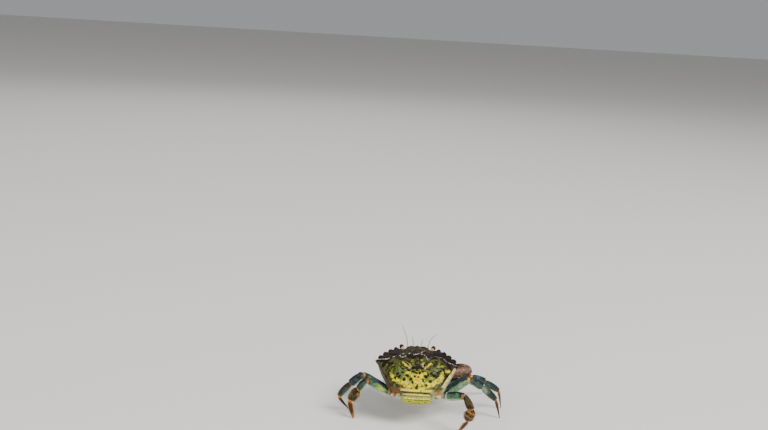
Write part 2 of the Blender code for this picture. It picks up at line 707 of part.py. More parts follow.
def stand_on_origin():
    """Moves the crab so that its origin is the bottom centre of its box."""
    low = Vector((1.0, 1.0, 1.0))
    high = -low
    for part in CRAB.objects:
        for corner in part.data.vertices:
            low = Vector(map(min, low, corner.co))
            high = Vector(map(max, high, corner.co))
    shift = Vector((-(low.x + high.x) / 2.0, -(low.y + high.y) / 2.0, -low.z))
    for part in CRAB.objects:
        part.data.transform(Matrix.Translation(shift))


for leftover in list(bpy.data.objects):
    bpy.data.objects.remove(leftover)
CRAB = collection("green_crab")
CUTTERS = collection("cutters")
BODY = body_matrix()
ABDOMEN_LINE = [Vector((0.0, back, up)) for back, up in ABDOMEN_PATH]

carapace = make_carapace()
shell_room = cutter_from(carapace)
abdomen_rooms = [cutter_from(plate) for plate in make_abdomen()]
combine(carapace, abdomen_rooms, "DIFFERENCE")
thorax = make_trunk()
mouth = make_mouth_plates()
combine(thorax, [mouth], "UNION")
remove([mouth])
combine(thorax, [shell_room] + abdomen_rooms, "DIFFERENCE")
trunk_room = cutter_from(thorax)
for leg in LEG_POSE:
    make_leg(leg, [trunk_room, shell_room])
for which in ("left", "right"):
    make_claw(which, [trunk_room, shell_room])
    make_eye(which, [trunk_room, shell_room])
for feeler_name in FEELERS:
    make_feeler(feeler_name, [trunk_room, shell_room])
remove([shell_room, trunk_room] + abdomen_rooms)
stand_on_origin()
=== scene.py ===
import math
import random

import bmesh
import bpy
from mathutils import Matrix, Vector, noise


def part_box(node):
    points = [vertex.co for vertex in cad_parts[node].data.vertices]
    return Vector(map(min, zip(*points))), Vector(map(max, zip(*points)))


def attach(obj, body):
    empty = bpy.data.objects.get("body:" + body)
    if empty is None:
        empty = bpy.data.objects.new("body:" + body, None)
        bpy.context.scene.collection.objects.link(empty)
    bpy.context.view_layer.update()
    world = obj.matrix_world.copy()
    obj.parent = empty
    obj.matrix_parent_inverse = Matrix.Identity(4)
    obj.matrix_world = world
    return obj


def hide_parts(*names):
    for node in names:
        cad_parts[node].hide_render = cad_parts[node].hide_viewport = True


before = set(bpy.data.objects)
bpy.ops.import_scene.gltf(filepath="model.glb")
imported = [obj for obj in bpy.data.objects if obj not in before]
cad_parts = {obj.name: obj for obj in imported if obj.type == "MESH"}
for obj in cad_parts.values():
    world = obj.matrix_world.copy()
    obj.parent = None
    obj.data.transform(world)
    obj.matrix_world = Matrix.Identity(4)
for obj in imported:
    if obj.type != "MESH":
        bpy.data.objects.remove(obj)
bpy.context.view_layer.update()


# The camera looks down on the crab from behind, with the head pointing away. It leans a
# little to one side, and the crab is small and low in a wide view.
LENS_PIXELS = 890.0
IMAGE_WIDTH = 768.0
IMAGE_CENTRE = (384.0, 215.0)
CRAB_IN_IMAGE = (417.0, 371.0)      # where the middle of the shell shows
CAMERA_DISTANCE = 0.586
CAMERA_TURN = 178.0
CAMERA_ELEVATION = 22.0
CAMERA_LEAN = 4.2
SHELL_HEIGHT = 0.0335               # of the shell's middle above the floor
RIM_BEHIND_MIDDLE = 0.0183

shell_low, shell_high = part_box("carapace")
middle = Vector(((shell_low[0] + shell_high[0]) / 2, shell_high[1] - RIM_BEHIND_MIDDLE, SHELL_HEIGHT))

turn = math.radians(CAMERA_TURN)
lift = math.radians(CAMERA_ELEVATION)
back = Vector((math.sin(turn) * math.cos(lift), -math.cos(turn) * math.cos(lift), math.sin(lift)))
right = Vector((0, 0, 1)).cross(back).normalized()
upright = Matrix((right, back.cross(right), back)).transposed()
lean = Matrix.Rotation(math.radians(CAMERA_LEAN), 3, "Z")
to_crab = Vector((CRAB_IN_IMAGE[0] - IMAGE_CENTRE[0], IMAGE_CENTRE[1] - CRAB_IN_IMAGE[1], -LENS_PIXELS))
aim = Vector((0, 0, -1)).rotation_difference(to_crab.normalized()).to_matrix().inverted()
camera_data = bpy.data.cameras.new("camera")
camera_data.sensor_width = 36.0
camera_data.lens = LENS_PIXELS * 36.0 / IMAGE_WIDTH
camera_data.clip_start = 0.01
camera = bpy.data.objects.new("camera", camera_data)
camera.matrix_world = Matrix.Translation(middle + CAMERA_DISTANCE * back) @ (upright @ lean @ aim).to_4x4()
bpy.context.scene.collection.objects.link(camera)
bpy.context.scene.camera = camera


# The crab stands on a plain pale floor under soft studio light. The brightest lamp is behind
# the crab on its right, so that the right flank is lit and the left one is in shade.
FLOOR_SIZE = 30.0
FLOOR_COLOUR = (0.74, 0.72, 0.69, 1)
SKY_COLOUR = (0.88, 0.89, 0.91, 1)
SKY_STRENGTH = 0.38
LAMPS = {    # place, size, power
    "key": ((-1.40, 1.15, 2.00), 1.1, 100.0),
    "fill": ((2.00, 1.25, 1.40), 2.0, 24.0),
    "rim": ((0.40, -1.75, 1.50), 1.5, 9.0),
    "low": ((0.30, 1.50, 0.50), 1.2, 8.0),
}
bpy.ops.mesh.primitive_plane_add(size=FLOOR_SIZE)
floor = bpy.context.object
floor.name = "studio_floor"
floor_material = bpy.data.materials.new("studio_floor")
floor_material.use_nodes = True
floor_shader = floor_material.node_tree.nodes["Principled BSDF"]
floor_shader.inputs["Base Color"].default_value = FLOOR_COLOUR
floor_shader.inputs["Roughness"].default_value = 0.8
floor.data.materials.append(floor_material)

for name, (place, size, power) in LAMPS.items():
    lamp = bpy.data.lights.new(name, "AREA")
    lamp.size = size
    lamp.energy = power
    lamp_object = bpy.data.objects.new(name, lamp)
    facing = (Vector(place) - middle).to_track_quat("Z", "Y").to_matrix().to_4x4()
    lamp_object.matrix_world = Matrix.Translation(place) @ facing
    bpy.context.scene.collection.objects.link(lamp_object)
world = bpy.data.worlds.new("studio")
world.use_nodes = True
sky = world.node_tree.nodes["Background"]
sky.inputs["Color"].default_value = SKY_COLOUR
sky.inputs["Strength"].default_value = SKY_STRENGTH
bpy.context.scene.world = world


# The shell is one broad hard plate with five teeth on each side of its front. Its top is
# a low dome with swollen regions and grooves, and its flanks turn in below the margin.
UNIT = 0.054            # close to the shell's width; body sizes are fractions of it
PITCH = 23.0
ROLL = 0.5
FRONT = -0.42
BREADTH = 1.03
SHELL_CENTRE = -0.06
DOME = 0.115
SIDE_FLOOR = -0.158
SHELL_FLOOR = -0.150
SHELL_COLUMNS = 432
DOME_ROWS = 100
FLANK_ROWS = 32
UNDER_ROWS = 8
TOOTHED_MARGIN = (
    (0.000, 0.000), (0.022, 0.003), (0.036, 0.016),
    (0.056, 0.005), (0.084, 0.004), (0.110, 0.016),
    (0.128, 0.034), (0.148, 0.064), (0.184, 0.076), (0.222, 0.068),
    (0.264, 0.030), (0.283, 0.062), (0.281, 0.090),
    (0.331, 0.074), (0.351, 0.108), (0.344, 0.138),
    (0.394, 0.126), (0.412, 0.164), (0.403, 0.197),
    (0.452, 0.192), (0.467, 0.234), (0.452, 0.264),
    (0.500, 0.276), (0.486, 0.312),
)
REAR_MARGIN = ((0.486, 0.312), (0.455, 0.370), (0.412, 0.460), (0.360, 0.570), (0.318, 0.670),
               (0.290, 0.725), (0.230, 0.762), (0.130, 0.776), (0.000, 0.780))
MARGIN_STEPS = 36
HOLLOWS = (0.0, 0.8, 1.0, 0.45, 0.0)     # how deep the face's hollows are, down the flank
SOCKET_ACROSS = 0.195
SOCKET_WIDTH = 0.045
SOCKET_DEPTH = 0.115
PIT_WIDTH = 0.100
PIT_DEPTH = 0.060

body = (Matrix.Translation(middle) @ Matrix.Rotation(math.radians(ROLL), 4, "Y")
        @ Matrix.Rotation(math.radians(-PITCH), 4, "X") @ Matrix.Scale(UNIT, 4))


def on_body(across, back, up):
    """A place on the tilted body: out to its left, back and up, from the shell's middle."""
    return body @ Vector((across, back, up))


def blend(values, share):
    """Reads a smooth value at a share from 0 to 1 of an evenly spaced list."""
    place = min(max(share, 0.0), 1.0) * (len(values) - 1)
    low = min(int(place), len(values) - 2)
    rest = place - low
    before = values[max(low - 1, 0)]
    start = values[low]
    end = values[low + 1]
    after = values[min(low + 2, len(values) - 1)]
    slope_in = (end - before) * 0.5
    slope_out = (after - start) * 0.5
    square = rest * rest
    cube = square * rest
    return (start * (2 * cube - 3 * square + 1) + slope_in * (cube - 2 * square + rest)
            + end * (3 * square - 2 * cube) + slope_out * (cube - square))


def smooth(value, low=0.0, high=1.0):
    """Rises evenly from 0 at low to 1 at high."""
    share = min(max((value - low) / (high - low), 0.0), 1.0)
    return share * share * (3.0 - 2.0 * share)


def mix(first, second, share):
    """A colour between two others; a share past 0 or 1 counts as 0 or 1."""
    share = min(max(share, 0.0), 1.0)
    return tuple(a + (b - a) * share for a, b in zip(first, second))


def spread(distance):
    """A soft spot: 1 at its middle and nothing at twice its size."""
    return math.exp(-distance * distance * 1.5)


def hump(value, middle, width):
    """A rounded rise: 1 at its middle and nothing at two and a half times its width."""
    return math.exp(-((value - middle) / width) ** 2)


def stroke(x, y, start, end, width):
    """A soft brush stroke from start to end, in the shell's own plane."""
    run = end[0] - start[0]
    rise = end[1] - start[1]
    length = run * run + rise * rise
    share = ((x - start[0]) * run + (y - start[1]) * rise) / length if length else 0.0
    share = min(max(share, 0.0), 1.0)
    return spread(math.hypot(x - start[0] - run * share, y - start[1] - rise * share) / width)


def brush(x, y, points, width):
    """A soft stroke through several points, or a soft dot at one."""
    reach = 2.2 * width
    if not min(p[0] for p in points) - reach < x < max(p[0] for p in points) + reach:
        return 0.0
    if not min(p[1] for p in points) - reach < y < max(p[1] for p in points) + reach:
        return 0.0
    return max(stroke(x, y, start, end, width) for start, end in zip(points, points[1:] or points))


def grain(x, y, scale, seed):
    """Cloudy noise over a surface, from about -0.5 to 0.5."""
    return noise.noise(Vector((x * scale, y * scale, seed)))


def shell_outline():
    """The margin with its teeth, as even steps round the shell from the middle of its front."""
    rear = [Vector(point) for point in REAR_MARGIN]
    steps = MARGIN_STEPS - len(TOOTHED_MARGIN) + 1
    half = [Vector(point) for point in TOOTHED_MARGIN]
    half += [blend(rear, (k + 1) / steps) for k in range(steps)]
    half = [Vector((point.x * BREADTH, point.y + FRONT)) for point in half]
    return half + [Vector((-point.x, point.y)) for point in half[-2:0:-1]]


def softened(points, times):
    """A closed outline with its teeth worn down."""
    for _ in range(times):
        count = len(points)
        points = [(points[k - 1] + points[k] * 2.0 + points[(k + 1) % count]) / 4.0 for k in range(count)]
    return points


def round_loop(points, share, sharpness):
    """A point on a closed outline, between a smooth curve and straight lines."""
    count = len(points)
    place = share * count
    low = int(place)
    rest = place - low
    near = [points[(low + k) % count] for k in (-1, 0, 1, 2)]
    curve = (near[1] * 2.0 + (near[2] - near[0]) * rest
             + (near[0] * 2.0 - near[1] * 5.0 + near[2] * 4.0 - near[3]) * rest ** 2
             + (near[1] * 3.0 - near[0] - near[2] * 3.0 + near[3]) * rest ** 3) * 0.5
    return curve.lerp(near[1].lerp(near[2], rest), sharpness)


def swelling(across, back, place, size):
    """A rounded rise in the shell, the same on both sides."""
    return math.exp(-((abs(across) - place[0]) / size[0]) ** 2 - ((back - place[1]) / size[1]) ** 2)


GROOVES = (    # in the left half: points, width, depth
    (((0.070, 0.050), (0.105, -0.030), (0.165, -0.105), (0.260, -0.165), (0.345, -0.215)), 0.012, 0.0065),
    (((0.055, 0.010), (0.060, 0.115)), 0.010, 0.0080), (((0.000, 0.078), (0.058, 0.070)), 0.010, 0.0070),
    (((0.060, 0.115), (0.105, 0.220), (0.080, 0.300)), 0.012, 0.0050),
    (((0.000, -0.405), (0.000, -0.300), (0.045, -0.225)), 0.011, 0.0055),
    (((0.120, 0.060), (0.250, 0.030)), 0.014, 0.0040), (((0.380, -0.020), (0.300, 0.120)), 0.012, 0.0030),
)
SWELLINGS = (    # in the left half: place, size, height
    ((0.0, -0.20), (0.10, 0.10), 0.010), ((0.0, 0.16), (0.08, 0.09), 0.010),
    ((0.24, 0.05), (0.11, 0.15), 0.012),
    ((0.11, -0.02), (0.035, 0.12), -0.010), ((0.20, -0.19), (0.09, 0.04), -0.008),
    ((0.085, -0.270), (0.045, 0.040), 0.006), ((0.105, -0.160), (0.050, 0.045), 0.005),
    ((0.030, 0.150), (0.030, 0.045), 0.004), ((0.285, 0.110), (0.050, 0.070), 0.004),
    ((0.175, 0.200), (0.050, 0.060), 0.004), ((0.200, -0.060), (0.050, 0.035), 0.005),
    ((0.330, -0.060), (0.050, 0.035), 0.005), ((0.0, -0.06), (0.035, 0.060), 0.004),
)
RIDGE = (    # the ridge between the last teeth, edged with a broken white line of pale granules and painted highlight: points, width, whiteness
    (((0.505, -0.128), (0.460, -0.140), (0.384, -0.113)), 0.0085, 0.85),
    (((0.384, -0.113), (0.325, -0.120), (0.250, -0.140)), 0.0055, 0.95),
    (((0.250, -0.140), (0.206, -0.155), (0.182, -0.117), (0.153, -0.128), (0.130, -0.153)), 0.0050, 0.70),
    (((0.203, -0.165), (0.176, -0.193), (0.166, -0.188)), 0.0050, 0.85),
    (((0.112, -0.172), (0.093, -0.189), (0.055, -0.158)), 0.0045, 0.80),
    (((0.055, -0.158), (0.017, -0.182), (0.002, -0.170), (-0.036, -0.187), (-0.055, -0.226)), 0.0055, 0.85),
    (((-0.055, -0.226), (-0.082, -0.268)), 0.0090, 0.45),
    (((-0.043, -0.167), (-0.081, -0.158), (-0.119, -0.103)), 0.0110, 0.55),
    (((-0.119, -0.158), (-0.170, -0.166), (-0.226, -0.174), (-0.294, -0.171)), 0.0045, 0.35),
    (((-0.294, -0.171), (-0.340, -0.124), (-0.401, -0.106), (-0.490, -0.112)), 0.0045, 0.65),
)
RIDGE_RUN = ((0.520, -0.125), (0.460, -0.140), (0.384, -0.113), (0.250, -0.140), (0.130, -0.153),
             (0.000, -0.175), (-0.080, -0.165), (-0.294, -0.171), (-0.340, -0.124), (-0.520, -0.110))


def ridge_back(across):
    """How far back the ridge between the last teeth runs."""
    for left, right in zip(RIDGE_RUN, RIDGE_RUN[1:]):
        if across >= right[0]:
            return left[1] + (right[1] - left[1]) * (across - left[0]) / (right[0] - left[0])
    return RIDGE_RUN[-1][1]


def shell_relief(across, back):
    """How far the swellings, grooves, ridge and fine grain raise or sink the shell's top."""
    relief = sum(height * swelling(across, back, place, size) for place, size, height in SWELLINGS)
    for points, width, depth in GROOVES:
        relief -= 1.4 * depth * brush(abs(across), back, points, width)
    for points, width, _ in RIDGE:
        relief += 0.0075 * brush(across, back, points, width)
    rough = smooth(back - ridge_back(across), 0.10, -0.05)
    return relief + 0.0018 * rough * grain(across, back, 60.0, 1.0) + 0.0010 * grain(across, back, 35.0, 2.0)


BROWN_BLACK = (0.007, 0.0044, 0.0025)
PURPLE_BLACK = (0.014, 0.006, 0.008)
OLIVE_BROWN = (0.062, 0.050, 0.014)
DEEP_GREEN = (0.016, 0.034, 0.009)
GREY_GREEN = (0.130, 0.160, 0.065)
GREEN = (0.070, 0.120, 0.015)
YELLOW = (0.660, 0.550, 0.003)
YELLOW_GREEN = (0.270, 0.310, 0.006)
ORANGE = (0.680, 0.270, 0.001)
CREAM = (0.600, 0.520, 0.230)
GREY_BROWN = (0.075, 0.053, 0.036)
RED_BROWN = (0.180, 0.050, 0.018)
BONE = (0.560, 0.510, 0.410)
GOLD = (0.640, 0.360, 0.001)
# Painted light: the pale cream of the lit right flank, carried up over the margin.
LIT_STRIP_CREAM = (0.740, 0.620, 0.300)
PATCHES = (    # points, width, colour, amount, and how torn the edge is
    (((0.241, 0.122), (0.213, 0.092)), 0.034, GREY_GREEN, 0.65, 0.8),
    (((0.188, 0.164), (0.175, 0.110)), 0.028, GREY_GREEN, 0.60, 0.8),
    (((-0.179, 0.061), (-0.225, 0.077)), 0.036, GREY_GREEN, 0.70, 0.8),
    (((-0.190, 0.120), (-0.170, 0.100)), 0.024, GREY_GREEN, 0.55, 0.8),
    (((0.300, -0.060), (0.220, -0.040)), 0.030, GREEN, 0.50, 0.9),
    (((-0.172, -0.067), (-0.224, -0.088)), 0.020, GREEN, 0.80, 0.5),
    (((0.076, -0.046), (0.055, -0.070)), 0.016, YELLOW_GREEN, 0.60, 0.5),
    (((-0.044, -0.062), (-0.060, -0.080)), 0.016, YELLOW_GREEN, 0.70, 0.5),
    (((0.382, 0.014), (0.366, -0.024)), 0.015, YELLOW_GREEN, 0.70, 0.4),
    (((-0.255, 0.016), (-0.300, -0.015)), 0.024, YELLOW_GREEN, 0.90, 0.6),
    (((-0.215, 0.250), (-0.260, 0.215)), 0.030, GREEN, 0.60, 0.9),
    (((0.313, 0.084), (0.302, 0.142), (0.267, 0.198), (0.222, 0.237)), 0.026, YELLOW_GREEN, 0.95, 0.4),
    (((0.302, 0.160), (0.267, 0.205), (0.222, 0.240), (0.169, 0.268), (0.117, 0.303)),
     0.030, YELLOW, 0.95, 0.75),
    (((-0.300, 0.082), (-0.293, 0.149), (-0.249, 0.210)), 0.032, YELLOW, 0.97, 0.75),
    (((-0.249, 0.210), (-0.183, 0.266), (-0.132, 0.302), (-0.081, 0.329)), 0.030, YELLOW, 0.95, 0.75),
    (((0.123, 0.136), (0.079, 0.154), (0.048, 0.203), (0.039, 0.241)), 0.028, YELLOW, 0.97, 0.6),
    (((0.130, 0.225), (0.100, 0.270), (0.073, 0.311)), 0.032, YELLOW, 0.95, 0.7),
    (((-0.091, 0.142), (-0.069, 0.162), (-0.048, 0.197), (-0.060, 0.235)), 0.028, YELLOW, 0.97, 0.6),
    (((-0.060, 0.235), (-0.090, 0.270), (-0.140, 0.276)), 0.032, YELLOW, 0.95, 0.7),
    (((-0.008, 0.175), (-0.008, 0.350)), 0.056, YELLOW, 0.97, 0.45),
    (((0.105, 0.325), (0.000, 0.335), (-0.105, 0.337)), 0.032, YELLOW, 0.92, 0.2),
    (((0.172, -0.022), (0.141, 0.021), (0.104, 0.055)), 0.015, YELLOW, 0.90, 0.2),
    (((-0.156, -0.020), (-0.116, 0.034)), 0.016, YELLOW, 0.90, 0.1),
    (((-0.350, 0.033), (-0.380, 0.013)), 0.024, YELLOW, 0.95, 0.5),
    (((0.120, -0.030), (0.092, -0.012), (0.078, 0.037), (0.088, 0.070)), 0.011, CREAM, 0.80, 0.0),
    (((-0.076, -0.030), (-0.053, 0.012), (-0.067, 0.052), (-0.088, 0.070)), 0.011, CREAM, 0.85, 0.0),
    (((0.120, -0.030),), 0.012, ORANGE, 0.55, 0.0),
    (((-0.097, -0.019),), 0.015, RED_BROWN, 0.85, 0.0),
    (((-0.098, 0.038),), 0.018, ORANGE, 0.95, 0.0),
    (((-0.085, 0.100), (-0.125, 0.105)), 0.016, RED_BROWN, 0.50, 0.5),
    (((-0.308, 0.020), (-0.325, 0.060), (-0.340, 0.107)), 0.026, BROWN_BLACK, 0.92, 0.2),
    (((-0.008, 0.195), (-0.008, 0.262)), 0.034, GOLD, 0.65, 0.3),
    (((0.254, 0.312), (0.160, 0.314), (0.085, 0.331)), 0.017, RED_BROWN, 0.60, 0.8),
    (((-0.089, 0.334), (-0.184, 0.300), (-0.258, 0.262)), 0.012, OLIVE_BROWN, 0.80, 0.6),
    (((0.056, 0.062), (0.003, 0.064), (-0.050, 0.056)), 0.032, PURPLE_BLACK, 0.97, 0.0),
    (((0.003, 0.064), (0.003, 0.098)), 0.026, PURPLE_BLACK, 0.95, 0.0),
    (((0.005, -0.030), (0.003, 0.030)), 0.034, PURPLE_BLACK, 0.85, 0.5),
)
DARK_SPOTS = (    # across, back, size
    (0.118, 0.179, 0.026), (0.073, 0.227, 0.021), (0.053, 0.263, 0.019), (0.153, 0.227, 0.024),
    (0.209, 0.185, 0.020), (0.256, 0.192, 0.017), (0.013, 0.152, 0.020), (-0.027, 0.145, 0.020),
    (0.046, 0.132, 0.020), (-0.103, 0.183, 0.024), (-0.067, 0.234, 0.018), (-0.152, 0.240, 0.021),
    (-0.109, 0.286, 0.017), (-0.199, 0.158, 0.020), (-0.237, 0.156, 0.019), (-0.278, 0.072, 0.014),
    (-0.240, 0.108, 0.019), (-0.165, 0.132, 0.020), (0.000, 0.304, 0.019), (-0.002, 0.326, 0.015),
    (0.069, 0.322, 0.012), (-0.014, 0.200, 0.015), (0.028, 0.198, 0.016), (0.170, 0.140, 0.020),
    (0.235, 0.150, 0.018), (-0.130, 0.155, 0.014), (0.105, 0.105, 0.016), (-0.060, 0.300, 0.009),
)


def shell_grain(across, back):
    """The coarse and the fine cloudiness that the shell's colours follow."""
    return grain(across, back, 17.0, 5.0), grain(across, back, 48.0, 6.0)


def wavered(across, back):
    """A place moved a little, so that the edges of the marks waver."""
    x = across + 0.015 * grain(across, back, 22.0, 7.0) + 0.009 * grain(across, back, 65.0, 3.0)
    y = back + 0.015 * grain(across, back, 22.0, 8.0) + 0.009 * grain(across, back, 65.0, 4.0)
    return x, y


def shell_ground(across, back, torn, dusk):
    """Dark green and brown, flecked with grey and yellow, with a yellow glow at the rear."""
    mottle, fine = shell_grain(across, back)
    x, y = wavered(across, back)
    tint = mix(BROWN_BLACK, OLIVE_BROWN, 0.45 + 1.2 * mottle)
    tint = mix(tint, DEEP_GREEN, 0.7 * smooth(grain(across, back, 20.0, 9.0), 0.0, 0.30))
    tint = mix(tint, mix(BROWN_BLACK, GREY_BROWN, 0.15 + mottle), 0.8 * dusk)
    flecked = smooth(abs(across) + 0.3 * back, 0.42, 0.30) * (1.0 - 0.75 * dusk)
    tint = mix(tint, GREY_GREEN, 0.85 * smooth(fine, 0.10, 0.34) * flecked)
    tint = mix(tint, YELLOW_GREEN, 0.55 * smooth(grain(across, back, 55.0, 31.0), 0.25, 0.42) * flecked)
    glow = spread(math.hypot(x / 0.27, (y - 0.225) / 0.16))
    return mix(tint, YELLOW_GREEN, smooth(glow + 0.5 * mottle - 0.6 * torn, 0.25, 0.75))


def shell_marks(tint, across, back, torn, dusk):
    """Torn patches, a net of paler veins over them, and round dark spots on top."""
    mottle, fine = shell_grain(across, back)
    x, y = wavered(across, back)
    for points, width, colour, amount, tear in PATCHES:
        cover = brush(x, y, points, width)
        if cover > 0.2:
            tint = mix(tint, colour, amount * smooth(cover, 0.22, 0.70) * (1.0 - tear * torn))
    net = smooth(abs(grain(x, y, 24.0, 13.0)), 0.065, 0.015) * smooth(abs(across), 0.03, 0.10)
    net *= (0.65 - 0.40 * dusk) * smooth(fine, -0.30, 0.10)
    tint = mix(tint, mix(OLIVE_BROWN, YELLOW_GREEN, 0.25), net)
    for place_x, place_y, size in DARK_SPOTS:
        away = math.hypot((across + x) / 2 - place_x, (back + y) / 2 - place_y) / size
        if away < 1.8:
            tint = mix(tint, mix(BROWN_BLACK, DEEP_GREEN, 0.2 + mottle), smooth(spread(away), 0.16, 0.36))
    return tint


def shell_flanks(tint, across, back, share):
    """Painted shade on the left: a dull speckled edge where the flank is in shade. Painted light on the
    right: a pale strip along the margin where the flank is lit, with a thin dark line along its inner edge.
    """
    mottle, fine = shell_grain(across, back)
    # Painted shade: the top of the left flank, which lies in shade, is darkened, with dark and grey-green
    # specks.
    edge = smooth(abs(across) + 0.45 * back + 0.15 * mottle, 0.385, 0.43) * smooth(across, -0.1, 0.1)
    tint = mix(tint, mix(GREY_BROWN, OLIVE_BROWN, 0.5 + fine), edge * 0.9)
    tint = mix(tint, BROWN_BLACK, 0.75 * edge * smooth(grain(across, back, 60.0, 41.0), 0.0, 0.25))
    tint = mix(tint, GREY_GREEN, 0.45 * edge * smooth(grain(across, back, 80.0, 43.0), 0.15, 0.35))
    lit_side = smooth(across, 0.0, -0.2) * smooth(back, 0.30, 0.24)
    tint = mix(tint, BROWN_BLACK, 0.7 * spread((share - 0.925) / 0.012) * lit_side)
    # Painted light: the pale strip of the lit right flank.
    strip = mix(LIT_STRIP_CREAM, OLIVE_BROWN, 0.05 + 0.5 * smooth(fine, 0.0, 0.3))
    return mix(tint, strip, 0.9 * smooth(share, 0.935, 0.955) * lit_side)


def shell_front(tint, across, back):
    """The front, darkened both in its own colour and by painted shade where it slopes away from the light;
    painted shade in the grooves; and the broken white line along the ridge, pale granules with a painted
    highlight on the crest.
    """
    side = abs(across)
    mottle, fine = shell_grain(across, back)
    x, y = wavered(across, back)
    # The dark front: partly the shell's own dark colour and partly painted shade on the slope beyond the
    # ridge.
    reach = 0.055 + 0.035 * smooth(side, 0.22, 0.08) + 0.035 * smooth(across, -0.20, -0.34)
    front = smooth(y - ridge_back(across) + 0.06 * mottle + 0.03 * fine, reach, 0.5 * reach)
    olive = smooth(side, 0.26, 0.10) * smooth(back, -0.17, -0.23)
    dark = mix(BROWN_BLACK, PURPLE_BLACK, 0.3 + mottle + 0.4 * smooth(across, 0.1, -0.1))
    dark = mix(dark, OLIVE_BROWN, olive * (0.35 + mottle + fine))
    dark = mix(dark, GREY_BROWN, 0.30 * smooth(grain(across, back, 85.0, 14.0), 0.16, 0.42))
    tint = mix(tint, dark, front)
    # Painted shade in the grooves.
    for points, width, depth in GROOVES:
        tint = mix(tint, BROWN_BLACK, 0.40 * brush(side, back, points, 0.8 * width))
    # The white line: pale granules along the ridge, with a painted highlight on its crest.
    for points, width, white in RIDGE:
        line = smooth(brush(x, y, points, 0.85 * width * (1.0 + 0.5 * fine)), 0.35, 0.75)
        tint = mix(tint, BONE, white * line * smooth(fine + 0.5 * mottle, -0.60, -0.15))
    return tint


def shell_tint(across, back, share):
    """The top's colour: dark front with painted shade, white-edged ridge with a painted highlight, painted
    shade and light on the flank edges, dark marks, and a spotted yellow rear.
    """
    side = abs(across)
    mottle, fine = shell_grain(across, back)
    torn = smooth(fine + 0.5 * mottle, -0.02, 0.42)
    dusk = smooth(back - ridge_back(across), 0.18, 0.08)
    tint = shell_ground(across, back, torn, dusk)
    tint = shell_marks(tint, across, back, torn, dusk)
    tint = shell_flanks(tint, across, back, share)
    tint = shell_front(tint, across, back)
    rim = smooth(share + 0.010 * fine, 0.945, 0.966) * smooth(back, 0.285, 0.315)
    tint = mix(tint, mix(RED_BROWN, OLIVE_BROWN, 0.5 + 2.0 * fine), 0.8 * rim * smooth(side, 0.14, 0.20))
    rim *= (0.92 - 0.30 * smooth(fine, 0.0, 0.3)) * smooth(side, 0.22, 0.15)
    return mix(tint, mix(CREAM, YELLOW, 0.30 + 0.5 * smooth(side, 0.16, 0.04) + 0.3 * mottle), rim)


STAIN_GRAIN = 900.0
PIT_GRAIN = 3500.0
PIT_HEIGHT = 0.00005
SPECK_BLACK = (0.012, 0.012, 0.008, 1)
GLOSS = {
    "Specular IOR Level": 0.08, "Coat Weight": 0.02, "Coat Roughness": 0.25,
    "Subsurface Weight": 0.03, "Subsurface Radius": (0.0012, 0.0008, 0.0004),
}


def wire(tree, node, sockets):
    """Gives each socket a value, or a link from another node."""
    for socket, value in sockets.items():
        if isinstance(value, bpy.types.NodeSocket):
            tree.links.new(value, node.inputs[socket])
        else:
            node.inputs[socket].default_value = value


def chitin(name, pebble, pebble_height, speck, roughness):
    """Horny shell: the piece's own tint with specks and stain, fine pebbles, and a wet gloss."""
    made = bpy.data.materials.new(name)
    made.use_nodes = True
    tree = made.node_tree

    def add(kind, output, sockets, **settings):
        """One output of a new node, with the node's settings and sockets filled in."""
        node = tree.nodes.new("ShaderNode" + kind)
        for setting, value in settings.items():
            setattr(node, setting, value)
        wire(tree, node, sockets)
        return node.outputs[output]

    place = add("TexCoord", "Object", {})
    tint = add("Attribute", "Color", {}, attribute_name="tint")
    specks = add("Attribute", "Fac", {}, attribute_name="specks")
    cells = add("TexVoronoi", "Distance", {"Vector": place, "Scale": speck, "Randomness": 1.0})
    dots = add("MapRange", "Result", {"Value": cells, "From Min": 0.36, "From Max": 0.20})
    dots = add("Math", "Value", {0: dots, 1: specks}, operation="MULTIPLY")
    stain = add("TexNoise", "Fac", {"Vector": place, "Scale": STAIN_GRAIN, "Detail": 4.0})
    shade = add("MapRange", "Result", {"Value": stain, "From Min": 0.3, "From Max": 0.7,
                                       "To Min": 0.75, "To Max": 1.25})
    stained = add("VectorMath", "Vector", {0: tint, "Scale": shade}, operation="SCALE")
    colour = add("Mix", "Result", {"Factor": dots, "A": stained, "B": SPECK_BLACK}, data_type="RGBA")
    pebbles = add("TexVoronoi", "Distance", {"Vector": place, "Scale": pebble}, feature="SMOOTH_F1")
    bumps = add("Bump", "Normal", {"Height": pebbles, "Distance": pebble_height, "Strength": 0.7},
                invert=True)
    pits = add("TexNoise", "Fac", {"Vector": place, "Scale": PIT_GRAIN})
    bumps = add("Bump", "Normal", {"Height": pits, "Distance": PIT_HEIGHT, "Strength": 0.5, "Normal": bumps})
    wire(tree, tree.nodes["Principled BSDF"],
         {"Base Color": colour, "Roughness": roughness, "Normal": bumps, **GLOSS})
    return made


def finish_piece(name, bm, tints, specks, material, slot, *nodes):
    """Turns a bmesh and its tints, one a vertex, into a piece that stands for CAD nodes.

    The specks are how thick the dark specks lie, either one a vertex or one for them all.
    """
    bmesh.ops.recalc_face_normals(bm, faces=bm.faces)
    mesh = bpy.data.meshes.new(name)
    bm.to_mesh(mesh)
    bm.free()
    mesh.shade_smooth()
    mesh.set_sharp_from_angle(angle=math.radians(50))
    tint_layer = mesh.color_attributes.new("tint", "FLOAT_COLOR", "POINT")
    tint_layer.data.foreach_set("color", [value for tint in tints for value in (*tint, 1.0)])
    speck_layer = mesh.attributes.new("specks", "FLOAT", "POINT")
    speck_layer.data.foreach_set("value", specks if isinstance(specks, list) else [specks] * len(tints))
    mesh.materials.append(material)
    piece = bpy.data.objects.new(name, mesh)
    bpy.context.scene.collection.objects.link(piece)
    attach(piece, "root")
    if nodes:
        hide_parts(*nodes)
    return piece


